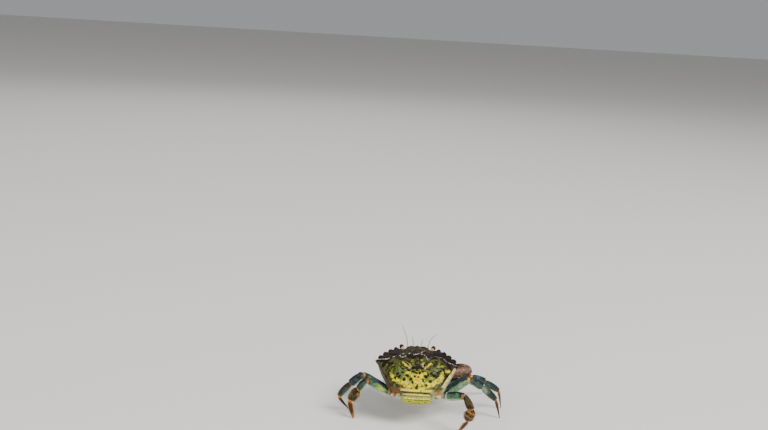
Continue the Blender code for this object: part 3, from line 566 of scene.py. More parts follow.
def face_hollow(across, rear):
    """The eye sockets and the pits between them, under the front margin."""
    if rear > 0.5:
        return 0.0
    sockets = SOCKET_DEPTH * hump(abs(across), SOCKET_ACROSS, SOCKET_WIDTH)
    return sockets + PIT_DEPTH * math.exp(-(across / PIT_WIDTH) ** 4)


def flank_tint(across, rear, around, depth, hollow, groove):
    """Pale cream below the margin, with painted shade: darker on the left, where the flank is in shade, and
    in the face's hollows, its pits and along the groove.
    """
    mottle = grain(around * 42.0, depth * 3.0, 1.0, 12.0)
    fine = grain(around * 160.0, depth * 12.0, 1.0, 15.0)
    tint = mix(CREAM, YELLOW_GREEN, 0.15 + 0.4 * mottle)
    tint = mix(tint, OLIVE_BROWN, 0.45 * smooth(mottle + 0.6 * fine, 0.05, 0.45))
    # Painted shade: the left flank is darkened, as it lies in shade.
    shaded = smooth(across, 0.02, 0.20) * smooth(rear, 0.30, 0.50) * smooth(depth, 1.0, 0.6)
    tint = mix(tint, GREY_BROWN, 0.85 * shaded)
    tint = mix(tint, RED_BROWN, 0.6 * spread((abs(across) - 0.26) / 0.06) * smooth(rear, 0.85, 0.95))
    tint = mix(tint, RED_BROWN, 0.35 * smooth(rear, 0.45, 0.20) * smooth(0.6 * fine - mottle, 0.0, 0.4))
    tint = mix(tint, OLIVE_BROWN, (0.50 + 0.6 * mottle + 0.5 * fine) * smooth(rear, 0.22, 0.10))
    # Painted shade in the eye sockets, the pits between them and along the groove.
    tint = mix(tint, BROWN_BLACK, smooth(hollow, 0.030, 0.090) * 0.85 + 0.45 * groove)
    margin = 0.055 + 0.09 * smooth(rear, 0.6, 0.4)
    return mix(tint, GREY_BROWN, 0.9 * smooth(depth + 0.02 * mottle, margin, 0.015))


toothed = shell_outline()
even = softened(toothed, 6)
shell_rows = DOME_ROWS + FLANK_ROWS + UNDER_ROWS
dome_middle = Vector((0.0, SHELL_CENTRE))
bm = bmesh.new()
bmesh.ops.create_uvsphere(bm, u_segments=SHELL_COLUMNS, v_segments=shell_rows, radius=1.0)
tints = []
specks = []
for vert in bm.verts:
    around = math.atan2(vert.co.x, -vert.co.y) / math.tau % 1.0
    around = round(around * SHELL_COLUMNS) % SHELL_COLUMNS / SHELL_COLUMNS
    row = round(math.acos(max(-1.0, min(1.0, vert.co.z))) / math.pi * shell_rows)
    rear = 0.5 - 0.5 * math.cos(around * math.tau)
    sideways = math.sin(around * math.tau) ** 2
    crisp = round_loop(toothed, around, 0.80)
    calm = round_loop(even, around, 0.0)
    edge = 0.020 * rear ** 6 + 0.014 * (1.0 - rear) ** 4
    inward = 1.0 - (0.66 + 0.28 * rear ** 0.6)
    side_low = SIDE_FLOOR + 0.020 * (1.0 - rear) ** 2
    depth = (row - DOME_ROWS) / FLANK_ROWS
    if row <= DOME_ROWS:
        share = (row / DOME_ROWS) ** 0.92
        place = dome_middle.lerp(calm.lerp(crisp, smooth(share, 0.88, 1.0)), share)
        fall = share ** (1.75 + 0.9 * rear + 0.3 * sideways)
        height = DOME * (1.0 - fall) + edge * share
        height += shell_relief(place.x, place.y) * (1.0 - share ** 10)
        height += 0.005 * hump(share, 0.965, 0.018)
        height -= 0.005 * hump(share, 0.930, 0.018) * rear ** 3
        tint = shell_tint(place.x, place.y, share)
        speck = smooth(place.y, -0.10, 0.05) * 0.9
    elif depth <= 1.0:
        beside = abs(calm.x)
        at_front = smooth(rear, 0.16, 0.08)
        hollow = face_hollow(calm.x, rear) * blend(HOLLOWS, depth)
        groove = hump(depth, 0.52 + 0.10 * math.cos(around * 12.6), 0.022) * smooth(rear, 0.95, 0.70)
        pit = max(spread((beside - 0.045) / 0.016), spread((beside - 0.124) / 0.012))
        pit *= smooth(rear, 0.2, 0.1) * spread((depth - 0.26) / 0.12)
        sill = spread((depth - 0.62) / 0.05) * at_front
        socket_lip = spread((depth - 0.84) / 0.07) * spread((beside - SOCKET_ACROSS) / 0.06)
        sill += 1.2 * socket_lip * smooth(rear, 0.4, 0.3)
        undercut = smooth(rear, 0.93, 0.99) * smooth(depth, 0.02, 0.22)
        share = blend((1.0, 0.985, 1 - inward * 0.38, 1 - inward * 0.63, 1 - inward * 0.88), depth)
        share -= hollow + 0.012 * groove + 0.022 * pit - 0.012 * sill + 0.085 * undercut
        place = dome_middle.lerp(crisp.lerp(calm, smooth(depth, 0.04, 0.25)), share)
        drops = (edge + (side_low - edge) * part for part in (0.5, 0.75, 1.0))
        height = blend((edge, edge - 0.020, *drops), depth)
        tint = flank_tint(place.x, rear, around, depth, hollow + 0.08 * pit, groove)
        speck = 0.45
    else:
        under = (shell_rows - row) / UNDER_ROWS
        place = dome_middle.lerp(calm, (1.0 - inward * 0.88) * under)
        height = SHELL_FLOOR + (side_low - SHELL_FLOOR) * under
        tint = mix(CREAM, GREY_BROWN, 0.3)
        speck = 0.2
    vert.co = on_body(place.x, place.y, height)
    tints.append(tint)
    specks.append(speck)
shell_chitin = chitin("mottled_shell", 1500.0, 0.00015, 620.0, 0.46)
finish_piece("shell", bm, tints, specks, shell_chitin, "shell", "carapace")


# The underside is the pale breast plate, in bands that part between the legs, and a pair of
# mouth doors at its front.
BREAST_HALF_WIDTHS = (0.090, 0.135, 0.155, 0.190, 0.218, 0.228, 0.228, 0.215, 0.175, 0.110)
BREAST_FLOORS = (-0.115, -0.185, -0.240, -0.266, -0.272, -0.272, -0.268, -0.255, -0.225, -0.160)
BREAST_FIRST = -0.350
BREAST_LAST = 0.345
BREAST_TOP = -0.090
BAND_SEAMS = (-0.070, 0.020, 0.105, 0.185, 0.255)
SEAM_WIDTH = 0.0075
BELLY = (0.560, 0.500, 0.300)
# A darker belly tone: the plate's own mottle, and painted shade in the seams.
BELLY_SHADE = (0.250, 0.200, 0.090)
SIDES = (("left", 1), ("right", -1))


def edges_along(bm, axis):
    """The edges of a plain block or tube that run its whole length along an axis, 0 to 2."""
    return [edge for edge in bm.edges if abs(edge.verts[0].co[axis] - edge.verts[1].co[axis]) > 0.5]


def rod(sides, rings):
    """A closed unit tube from 0 to 1 along Z, in even rings."""
    bm = bmesh.new()
    bmesh.ops.create_cone(bm, cap_ends=True, segments=sides, radius1=1.0, radius2=1.0, depth=1.0)
    bmesh.ops.translate(bm, verts=bm.verts, vec=(0.0, 0.0, 0.5))
    bmesh.ops.subdivide_edges(bm, edges=edges_along(bm, 2), cuts=rings - 1, use_grid_fill=True)
    return bm


bm = rod(72, 90)
tints = []
for vert in bm.verts:
    share = vert.co.z
    angle = math.atan2(vert.co.y, vert.co.x)
    taper = 1.0 - 0.5 * abs(2.0 * share - 1.0) ** 8
    wide = math.cos(angle) * max(abs(math.cos(angle)), 0.01) ** -0.35
    across = blend(BREAST_HALF_WIDTHS, share) * taper * wide * 0.985
    floor_here = blend(BREAST_FLOORS, share)
    half = (BREAST_TOP - floor_here) / 2.0
    up = floor_here + half + half * math.sin(angle) * max(abs(math.sin(angle)), 0.01) ** -0.3
    place = BREAST_FIRST + (BREAST_LAST - BREAST_FIRST) * share
    under = smooth(-math.sin(angle), 0.2, 0.8)
    seam = max(hump(place, back_at + 0.10 * abs(across), SEAM_WIDTH) for back_at in BAND_SEAMS)
    seam *= smooth(abs(across), 0.03, 0.06)
    up += under * (0.012 * seam - 0.003 * math.cos((place - 0.02) * 36.0))
    vert.co = on_body(across, place, up)
    mottle = grain(across, place, 22.0, 20.0)
    # Painted shade in the seams between the bands, with the plate's own darker mottle.
    tint = mix(BELLY, BELLY_SHADE, 0.9 * seam + 0.5 * smooth(mottle, 0.1, 0.5))
    tint = mix(tint, ORANGE, 0.35 * smooth(abs(across), 0.15, 0.22) * smooth(mottle, -0.2, 0.3))
    tints.append(tint)
belly_chitin = chitin("belly_shell", 1900.0, 0.00008, 700.0, 0.42)
finish_piece("breast", bm, tints, 0.12, belly_chitin, "underside", "thorax")

for side_name, side in SIDES:
    bm = bmesh.new()
    bmesh.ops.create_cube(bm, size=2.0)
    bmesh.ops.subdivide_edges(bm, edges=bm.edges[:], cuts=15, use_grid_fill=True)
    tints = []
    for vert in bm.verts:
        sideways, along, thick = vert.co
        crown = 1.0 - 0.5 * sideways ** 4 - 0.4 * along ** 4
        seam = hump(along, -0.30, 0.07) + 0.6 * hump(sideways, -0.45, 0.08)
        corner = 1.0 - 0.10 * sideways ** 2 * along ** 2
        back_at = -0.240 + 0.098 * along * (1.0 - 0.12 * sideways ** 2) * corner
        across = 0.064 + 0.054 * sideways * (1.0 - 0.15 * along ** 2) * corner - 0.006 * along
        up = -0.192 - 0.045 * along - (0.026 + 0.011 * crown) * (1.0 - thick)
        up += 0.006 * seam * (thick < -0.9)
        vert.co = on_body(side * across, back_at, up)
        mottle = grain(across, back_at, 30.0, 21.0)
        # Painted shade in the seams, with the door's own darker mottle.
        tints.append(mix(mix(BELLY, YELLOW_GREEN, 0.35), BELLY_SHADE, 0.6 * seam + 0.4 * mottle))
    finish_piece("mouth_door_" + side_name, bm, tints, 0.4, belly_chitin, "underside")


# The abdomen is a row of bowed plates that hangs from the rear rim and folds forward under
# the body. Each plate has a raised bar across it, pale and painted brighter as a highlight, and the last ones
# make a flat flap.
ABDOMEN_PATH = ((0.325, -0.024), (0.360, -0.046), (0.384, -0.078), (0.393, -0.114),
                (0.386, -0.154), (0.352, -0.196), (0.285, -0.236), (0.180, -0.266),
                (0.060, -0.282), (-0.040, -0.280))
ABDOMEN_WIDTHS = (0.172, 0.178, 0.182, 0.182, 0.174, 0.158, 0.135, 0.105, 0.075, 0.018)
ABDOMEN_JOINTS = (0.01, 0.125, 0.235, 0.66, 0.99)
ABDOMEN_NAMES = ("abdomen_1", "abdomen_2", "abdomen_plate", "abdomen_tip")
ABDOMEN_THICK = 0.026
ABDOMEN_CUTS_ACROSS = 35
ABDOMEN_BARS = (    # place, width, height
    (0.080, 0.023, 1.0), (0.212, 0.019, 1.0), (0.400, 0.012, 0.35), (0.530, 0.012, 0.35),
)
ABDOMEN_GREEN = (0.420, 0.430, 0.035)
ABDOMEN_OLIVE = (0.330, 0.300, 0.075)
PALE_BAR_AND_HIGHLIGHT = (0.930, 0.860, 0.240)
abdomen_path = [Vector((0.0, back_at, up)) for back_at, up in ABDOMEN_PATH]
abdomen_chitin = chitin("abdomen_shell", 1700.0, 0.00009, 620.0, 0.40)


def abdomen_bars(share, side):
    """The raised bars across the plates, a little wavy, as heights from 0 to 1."""
    wavy = share + 0.010 * grain(side, share, 3.0, 23.0)
    return max(height * hump(wavy, place, width) for place, width, height in ABDOMEN_BARS)


for name, first, last in zip(ABDOMEN_NAMES, ABDOMEN_JOINTS, ABDOMEN_JOINTS[1:]):
    bm = bmesh.new()
    bmesh.ops.create_cube(bm, size=1.0)
    cuts = max(12, int((last - first) * 110))
    bmesh.ops.subdivide_edges(bm, edges=edges_along(bm, 1), cuts=cuts, use_grid_fill=True)
    bmesh.ops.subdivide_edges(bm, edges=edges_along(bm, 0), cuts=ABDOMEN_CUTS_ACROSS, use_grid_fill=True)
    tints = []
    for vert in bm.verts:
        own = vert.co.y + 0.5
        share = first + 0.003 + (last - first - 0.006) * own
        point = blend(abdomen_path, share)
        ahead = (blend(abdomen_path, share + 0.01) - blend(abdomen_path, share - 0.01)).normalized()
        outward = Vector((1.0, 0.0, 0.0)).cross(ahead)
        side = 2.0 * vert.co.x
        bars = abdomen_bars(share, side) * smooth(abs(side), 1.0, 0.82)
        ends = smooth(own, 0.0, 0.06) * smooth(own, 1.0, 0.94)
        inward = 0.022 * side ** 2 + 0.004 * (1.0 - ends)
        if vert.co.z > 0.0:
            inward += 0.007 * side ** 10 - 0.004 * math.sin(math.pi * own) ** 2 - 0.006 * bars
        else:
            inward += ABDOMEN_THICK - 0.006 * side ** 10
        place = point - outward * inward
        half = blend(ABDOMEN_WIDTHS, share) * (1.0 - 0.02 * (1.0 - ends))
        vert.co = on_body(half * side, place.y, place.z)
        mottle = grain(half * side, share * 0.7, 24.0, 22.0)
        fine = grain(half * side, share * 0.7, 60.0, 24.0)
        tint = mix(ABDOMEN_OLIVE, ABDOMEN_GREEN, smooth(share, 0.20, 0.27) + 0.5 * mottle)
        # Painted shade where the plates meet: darker towards each plate's ends, over the plate's own dark
        # mottle.
        tint = mix(tint, DEEP_GREEN, 0.65 * smooth(mottle + 0.6 * fine, 0.10, 0.50) + 0.6 * (1.0 - ends))
        blotch = spread((share - 0.243) / 0.011) * smooth(abs(side + 0.1), 0.55, 0.35)
        tint = mix(tint, PURPLE_BLACK, 0.65 * blotch * smooth(fine, -0.20, 0.10))
        freckles = smooth(fine + 0.4 * mottle, 0.02, 0.30) * smooth(share, 0.24, 0.27)
        tint = mix(tint, OLIVE_BROWN, 0.55 * freckles)
        tint = mix(tint, mix(BELLY, ABDOMEN_GREEN, 0.3), smooth(share, 0.40, 0.60))
        # The bars: pale in their own colour, with a painted highlight along their crests.
        tints.append(mix(tint, PALE_BAR_AND_HIGHLIGHT, 0.95 * smooth(bars, 0.35, 0.8) * smooth(mottle, -0.7, -0.2)))
    finish_piece(name + "_shell", bm, tints, 0.55, abdomen_chitin,
                 "underside" if name == "abdomen_tip" else "abdomen", name)


# Eight walking legs, each of five horny articles that hinge at soft orange joints. Every
# article is an oval tube with raised ridges, a narrow root and a wider cuff at its far end.
ARTICLES = ("hip", "merus", "carpus", "propodus", "dactyl")
HIPS = {2: (0.190, -0.010, -0.205), 3: (0.205, 0.085, -0.200),
        4: (0.205, 0.175, -0.170), 5: (0.188, 0.262, -0.122)}
LENGTHS = {2: (0.12, 0.40, 0.19, 0.28, 0.28), 3: (0.12, 0.42, 0.20, 0.29, 0.29),
           4: (0.12, 0.38, 0.19, 0.275, 0.27), 5: (0.12, 0.32, 0.165, 0.225, 0.235)}
HALF_HEIGHTS = {2: (0.040, 0.056, 0.050, 0.042, 0.022), 3: (0.040, 0.058, 0.052, 0.044, 0.022),
                4: (0.040, 0.058, 0.052, 0.046, 0.022), 5: (0.042, 0.056, 0.050, 0.060, 0.031)}
WIDTH_SHARE = {"hip": 0.80, "merus": 0.58, "carpus": 0.66, "propodus": 0.60, "dactyl": 0.75}
PADDLE_SHARE = {"propodus": 0.42, "dactyl": 0.36}
LEG_POSE = {
    "left_2": ((55, -30), (74, 4), (92, -22), (95, -38)),
    "left_3": ((9, -20), (42, 3), (66, -20), (80, -31)),
    "left_4": ((9, -20), (1, 31), (12, -40), (33, -52)),
    "left_5": ((3, -6), (-7, 28), (26, -50), (37, -56)),
    "right_2": ((40, -30), (47, -4), (48, -13), (48, -29)),
    "right_3": ((9, -20), (24, 20), (26, -23), (34, -34)),
    "right_4": ((9, -20), (18, 28), (15, -29), (21, -43)),
    "right_5": ((3, -6), (-36, 17), (-58, -35), (-83, -118)),
}
DACTYL_TURN = {"left_2": 92, "left_3": 86, "left_4": -45, "left_5": 3,
               "right_2": 50, "right_3": 55, "right_4": 30, "right_5": -51}
DACTYL_TUCKED = ("left_4", "left_5", "right_5")
TWIST = {"right_5": (0, 0, 40, 75, 75)}     # turns the flat of each article about its axis
SHAPES = {
    "hip": (1.00, 1.05, 1.0, 0.88), "merus": (0.62, 0.86, 0.98, 1.0, 0.94, 0.80),
    "carpus": (0.70, 0.92, 1.0, 0.96), "propodus": (0.72, 0.95, 1.0, 0.92, 0.72),
    "dactyl": (0.92, 0.95, 0.80, 0.62, 0.42, 0.24),
}
PADDLES = {"propodus": (0.66, 0.95, 1.0, 0.90, 0.66), "dactyl": (0.70, 0.98, 1.0, 0.86, 0.58, 0.22)}
LINE_ANGLE = 0.62       # how far round an article its thin raised lines run, in radians
LINES_APART = 1.94
BENDS = {"hip": 0.30, "merus": 0.30, "carpus": 0.55, "propodus": 0.30, "dactyl": 0.35}
TIP_HALF = 0.0005
JOINT_GAP = 0.0003
LEG_SIDES = 40
LEG_RINGS = 44
HIP_RINGS = 24
HAIR_ROOT = 0.00006         # radius
HAIR_TIP = 0.00001
HAIR_LENGTHS = (0.0007, 0.0012)
HAIR_CLEARANCE = 0.0003     # over the floor
TEAL = (0.030, 0.092, 0.080)
DARK_TEAL = (0.008, 0.020, 0.024)
SEA_GREEN = (0.090, 0.190, 0.070)
PALE_GREEN = (0.260, 0.380, 0.240)
PALE_TURQUOISE = (0.360, 0.500, 0.360)
OLIVE_LEG = (0.060, 0.052, 0.018)
NAVY = (0.020, 0.020, 0.036)
RUST = (0.340, 0.110, 0.025)
JOINT_ORANGE = (0.560, 0.170, 0.005)
JOINT_SKIN = (0.200, 0.080, 0.028)
TIP_BROWN = (0.170, 0.062, 0.018)
HORN = (0.045, 0.024, 0.012)
DARK_BROWN = (0.026, 0.014, 0.009)
LIME = (0.340, 0.440, 0.050)
PALE_RING = (0.750, 0.740, 0.620)
SLATE = (0.050, 0.105, 0.115)
MOSS = (0.170, 0.170, 0.035)
SLASH_ORANGE = (0.480, 0.190, 0.030)
HAIR_BROWN = (0.330, 0.190, 0.060)
SLASHES = (0.20, 0.56)      # where the orange slashes cross the right swimming leg
KNEE_SPOTS = {    # the bright spot behind each knee: colour, amount, size, and how far round it starts
    "left_4 propodus": ((0.760, 0.440, 0.004), 1.0, 0.070, -1.6),
    "left_4 merus": ((0.520, 0.240, 0.060), 0.8, 0.035, 0.82),
    "left_5 merus": ((0.560, 0.210, 0.010), 0.9, 0.040, 0.75),
    "left_5 carpus": ((0.500, 0.280, 0.040), 0.8, 0.050, 0.30),
    "left_5 propodus": ((0.640, 0.360, 0.010), 0.9, 0.050, -0.20),
    "right_4 merus": ((0.660, 0.300, 0.006), 1.0, 0.045, 0.72),
    "right_3 merus": ((0.620, 0.300, 0.010), 1.0, 0.040, 0.70),
    "right_5 merus": ((0.660, 0.320, 0.006), 1.0, 0.035, 0.80),
    "right_5 carpus": (DARK_BROWN, 0.6, 0.060, -1.6),
    "right_5 propodus": ((0.560, 0.230, 0.010), 0.8, 0.040, -0.20),
}
leg_chitin = chitin("leg_shell", 2100.0, 0.00007, 900.0, 0.38)
tip_chitin = chitin("leg_tip_shell", 2600.0, 0.00005, 1100.0, 0.36)
root_chitin = chitin("leg_root_shell", 1900.0, 0.00007, 800.0, 0.42)


def side_of(name):
    """1 on the crab's left and -1 on its right."""
    return -1 if "right" in name else 1


def direction(azimuth, elevation, side):
    """Azimuth 0 points straight out from the body and 90 points forward, in degrees."""
    turn = math.radians(azimuth)
    rise = math.radians(elevation)
    return Vector((side * math.cos(turn) * math.cos(rise), -math.sin(turn) * math.cos(rise), math.sin(rise)))


def bend(start, end, leaving, arriving):
    """A curved path from start to end, as a function of the share of its length."""
    length = (end - start).length

    def path(share):
        square = share * share
        cube = square * share
        return (start * (2 * cube - 3 * square + 1) + leaving * (length * (cube - 2 * square + share))
                + end * (3 * square - 2 * cube) + arriving * (length * (cube - square)))
    return path


def sweep(path, across, outline, sides, rings, first_face=None, last_face=None):
    """A closed tube along a path. Its ends lie along the faces where it meets its neighbours."""
    bm = rod(sides, rings)
    frames = {}
    facts = []
    for vert in bm.verts:
        step = round(vert.co.z * rings)
        angle = math.atan2(vert.co.y, vert.co.x)
        if step not in frames:
            share = 0.5 - 0.5 * math.cos(math.pi * step / rings)
            ahead = (path(share + 0.01) - path(share - 0.01)).normalized()
            side = (across - ahead * across.dot(ahead)).normalized()
            frames[step] = (share, path(share), ahead, side, ahead.cross(side))
        share, here, ahead, side, up = frames[step]
        width, height = outline(share, angle)
        away = side * width * math.cos(angle) + up * height * math.sin(angle)
        slip = 0.0
        if first_face is not None:
            slip -= away.dot(first_face) / ahead.dot(first_face) * smooth(share, 0.40, 0.0)
        if last_face is not None:
            slip -= away.dot(last_face) / ahead.dot(last_face) * smooth(share, 0.60, 1.0)
        vert.co = here + away + ahead * slip
        facts.append((share, angle, vert.co.copy()))
    return bm, facts


def leg_line(name):
    """Joint points of one leg from hip to tip, and the way each article faces."""
    side = side_of(name)
    number = int(name[-1])
    hip = HIPS[number]
    points = [on_body(side * hip[0], hip[1], hip[2])]
    turns = []
    for (azimuth, elevation), length in zip(LEG_POSE[name], LENGTHS[number]):
        points.append(points[-1] + direction(azimuth, elevation, side) * length * UNIT)
        turns.append(azimuth)
    length = LENGTHS[number][4] * UNIT
    slope = math.degrees(math.asin(min(points[-1].z / length, 0.999)))
    if name in DACTYL_TUCKED:
        slope = 180.0 - slope
    points.append(points[-1] + direction(DACTYL_TURN[name], -slope, side) * length)
    turns.append(DACTYL_TURN[name])
    return points, [turn + twist for turn, twist in zip(turns, TWIST.get(name, (0, 0, 0, 0, 0)))]


def ridges(angle, article):
    """Swells the oval into the ridges that run along an article."""
    top = hump(angle, math.pi / 2, 0.22)
    foot = hump(angle, -math.pi / 2, 0.22)
    if article == "hip":
        return 1.0 + 0.03 * top
    flank = abs(abs(angle) - LINE_ANGLE)
    lines = hump(flank, 0.0, 0.16) + hump(flank, LINES_APART, 0.16)
    strength = 0.060 if article in ("propodus", "dactyl") else 0.035
    return 0.965 + 0.035 * (top + foot) + strength * lines - 0.02


def hip_tint(name, share, up, mottle, fine):
    """Pale, with a red-brown top and an orange spot near its end."""
    red = 0.85 if name.endswith("5") else 0.5
    tint = mix(mix(CREAM, PALE_TURQUOISE, 0.35), GREY_BROWN, 0.6 * smooth(mottle, 0.0, 0.4))
    tint = mix(tint, RED_BROWN, red * smooth(up + 0.5 * mottle, 0.0, 0.5))
    spot = spread((share - 0.72) / 0.14) * smooth(up + 0.6 * fine, 0.1, 0.6)
    return mix(tint, JOINT_ORANGE, 0.8 * spot)


def merus_tint(name, share, up, rear, mottle, fine):
    """Sea green and teal, nearly black on top, and paler below."""
    last_leg = name.endswith("5")
    tint = mix(SEA_GREEN, TEAL, 0.5 + 0.9 * mottle)
    if name == "left_5":
        glow = spread((share - 0.42) / 0.22) * smooth(rear, -0.3, 0.4)
        tint = mix(tint, LIME, glow * (0.75 + 0.6 * fine))
    if name in ("right_4", "right_3"):
        tint = mix(tint, PALE_GREEN, 0.20 + 0.9 * mottle + 0.3 * smooth(share, 0.45, 0.75))
    tint = mix(tint, DARK_TEAL, smooth(up + 0.35 * mottle, 0.40, 0.80))
    low, pale = (0.30, 0.9) if last_leg else (0.50, 0.5)
    tint = mix(tint, PALE_TURQUOISE, pale * smooth(-up + 0.25 * mottle, low, low + 0.38))
    if last_leg:
        tint = mix(tint, BONE, 0.8 * smooth(-up + 0.3 * fine, 0.15, 0.60) * smooth(share, 0.34, 0.18))
        tint = mix(tint, BONE, 0.8 * smooth(-share + 0.04 * up, -0.10, -0.03))
    if name == "right_5":
        tint = mix(tint, PALE_RING, hump(share, 0.19 + 0.05 * up * up, 0.024))
    if last_leg or name == "left_4":
        tint = mix(tint, DARK_TEAL, 0.85 * smooth(share, 0.76, 0.92) * smooth(up, -0.8, 0.0))
    return tint


def carpus_tint(name, share, up, mottle, fine):
    """Teal and olive, darker on top; browner on the last right leg."""
    if name == "right_5":
        tint = mix(DARK_BROWN, OLIVE_LEG, 0.5 + 1.5 * mottle)
        return mix(tint, NAVY, 0.8 * smooth(share, 0.40, 0.15))
    tint = mix(TEAL, mix(OLIVE_LEG, NAVY, 0.1), 0.5 + 0.9 * mottle)
    if name == "left_4":
        tint = mix(mix(TEAL, NAVY, 0.35), DARK_BROWN, 0.35 + 1.6 * mottle)
    tint = mix(tint, DARK_TEAL, smooth(up + 0.4 * mottle, 0.1, 0.7))
    tint = mix(tint, PALE_TURQUOISE, 0.75 * smooth(-up + 0.2 * mottle, 0.60, 0.92))
    if name == "right_3":
        tint = mix(tint, SLATE, smooth(spread((share - 0.35) / 0.25) + fine, 0.4, 0.9))
    return tint


def paddle_tint(name, share, up, mottle, fine, lines, broken):
    """The flat article of the last legs: brown and mossy, with rusty edges."""
    tint = mix(OLIVE_LEG, TEAL, 0.20 + 0.9 * mottle)
    if name == "right_5":
        tint = mix(tint, mix(DARK_TEAL, OLIVE_LEG, 0.35), 0.9 * smooth(share + 0.25 * mottle, 0.20, 0.60))
    tint = mix(tint, DARK_TEAL, 0.8 * smooth(up + 0.4 * mottle, -0.1, 0.6))
    tint = mix(tint, DARK_BROWN, 0.85)
    tint = mix(tint, MOSS, 0.7 * smooth(fine + 0.8 * mottle, 0.14, 0.40))
    tint = mix(tint, RUST, 0.5 * lines + 0.45 * smooth(abs(up), 0.90, 0.985) * broken)
    if name == "right_5":
        for start in SLASHES:
            slash = hump(share, start + 0.14 * up, 0.050)
            tint = mix(tint, SLASH_ORANGE, 0.85 * slash * smooth(fine, -0.4, 0.0))
    return tint


def propodus_tint(name, share, up, mottle, fine, lines):
    """Teal, darker on top and, on the right, towards its far end."""
    tint = mix(OLIVE_LEG, TEAL, 0.75 + 0.9 * mottle)
    if name == "right_4":
        tint = mix(tint, PALE_GREEN, (0.80 + 0.6 * mottle) * smooth(share + 0.2 * fine, 0.55, 0.15))
    if name.startswith("right"):
        tint = mix(tint, mix(DARK_TEAL, OLIVE_LEG, 0.35), 0.9 * smooth(share + 0.25 * mottle, 0.20, 0.60))
    tint = mix(tint, DARK_TEAL, 0.8 * smooth(up + 0.4 * mottle, -0.1, 0.6))
    tint = mix(tint, PALE_TURQUOISE, 0.7 * smooth(-up + 0.2 * mottle, 0.70, 0.95))
    if name == "left_4":
        tint = mix(tint, DARK_BROWN, 0.7 * smooth(up + mottle, -0.6, -0.1))
        tint = mix(tint, RUST, 0.2 * lines)
        return mix(tint, RED_BROWN, 0.8 * smooth(share, 0.78, 0.88))
    return mix(tint, RUST, 0.35 * lines)


def dactyl_tint(name, share, up, mottle):
    """A brown point with orange edges, flat and rusty on the last legs and horny on the others."""
    tint = mix(TIP_BROWN, DARK_TEAL, 0.75 if name.endswith("4") else 0.45)
    tint = mix(tint, OLIVE_LEG, 0.25 + 0.7 * mottle)
    root = smooth(share + 0.05 * mottle, 0.12, 0.03)
    if name.endswith("5"):
        tint = mix(tint, DARK_TEAL, 0.7 * smooth(abs(up), 0.8, 0.4))
        tint = mix(tint, JOINT_ORANGE, 0.85 * smooth(abs(up), 0.72, 0.93) * smooth(share, 0.98, 0.8))
        tint = mix(tint, JOINT_ORANGE, 0.7 * root)
        return mix(tint, RUST, 0.9 * smooth(share, 0.62, 0.78))
    tint = mix(tint, JOINT_ORANGE, 0.34 * smooth(abs(up), 0.86, 0.97) * smooth(share, 0.98, 0.8))
    tint = mix(tint, RUST, 0.7 * root)
    return mix(tint, HORN, smooth(share, 0.82, 0.95))


def leg_tint(name, article, share, angle, point):
    """Dark tops, paler undersides, thin rusty lines, and bright spots behind the knees."""
    up = math.sin(angle)
    rear = math.cos(angle) * side_of(name)
    mottle = noise.noise(point * 420.0)
    fine = noise.noise(point * 1100.0)
    if article == "hip":
        return hip_tint(name, share, up, mottle, fine)
    if article == "dactyl":
        return dactyl_tint(name, share, up, mottle)
    broken = smooth(noise.noise(point * 300.0 + Vector((9.0, 0.0, 0.0))), -0.15, 0.20)
    flank = abs(abs(angle) - LINE_ANGLE)
    lines = max(hump(flank, 0.0, 0.09), hump(flank, LINES_APART, 0.09)) * broken
    if article == "merus":
        tint = mix(merus_tint(name, share, up, rear, mottle, fine), RUST, 0.35 * lines)
    elif article == "carpus":
        rust = 0.25 if name == "left_4" else 0.40
        tint = mix(carpus_tint(name, share, up, mottle, fine), RUST, rust * lines)
    elif name.endswith("5"):
        tint = paddle_tint(name, share, up, mottle, fine, lines, broken)
    else:
        tint = propodus_tint(name, share, up, mottle, fine, lines)
    colour, amount, size, start = KNEE_SPOTS.get(name + " " + article, (RUST, 0.6, 0.020, 0.60))
    behind = 0.30 * up + 0.95 * rear + 0.3 * fine
    near = spread((share - 0.965) / size)
    tint = mix(tint, RED_BROWN, 0.6 * amount * smooth(behind, start - 0.6, start) * smooth(near, 0.02, 0.3))
    spot = smooth(behind, start, start + 0.2) * smooth(near + 0.4 * fine, 0.25, 0.7)
    tint = mix(tint, colour, amount * spot)
    return mix(tint, JOINT_SKIN, 0.45 * max(smooth(share, 0.982, 0.992), smooth(share, 0.035, 0.010)))


def joint_skins(name, joints):
    """The soft skin and the hinge knobs in every joint of a limb, as one piece."""
    bm = bmesh.new()
    tints = []
    for point, face, across, width, height in joints:
        up = face.cross(across).normalized()
        turned = Matrix((across, up, face)).transposed().to_4x4()
        balls = [(point, (width * 0.70, height * 0.70, height * 0.38), 20, 12, JOINT_SKIN)]
        for way in (1, -1):
            balls.append((point + across * way * width * 0.78, (width * 0.18, height * 0.18, height * 0.24),
                          10, 8, mix(JOINT_ORANGE, CREAM, 0.3)))
        for centre, size, sides, rings, tint in balls:
            place = Matrix.Translation(centre) @ turned @ Matrix.Diagonal((*size, 1.0))
            made = bmesh.ops.create_uvsphere(bm, u_segments=sides, v_segments=rings, radius=1.0, matrix=place)
            tints += [tint] * len(made["verts"])
    finish_piece(name, bm, tints, 0.0, skin_chitin, "leg")


def bristles(name, hairs):
    """A fringe of fine stiff hairs, each a thin cone from its root to its tip."""
    bm = bmesh.new()
    for root, tip in hairs:
        along = (tip - root).to_track_quat("Z", "Y").to_matrix().to_4x4()
        bmesh.ops.create_cone(bm, cap_ends=False, segments=3, radius1=HAIR_ROOT, radius2=HAIR_TIP,
                              depth=(tip - root).length, matrix=Matrix.Translation((root + tip) / 2) @ along)
    finish_piece(name, bm, [HAIR_BROWN] * len(bm.verts), 0.0, skin_chitin, "leg")


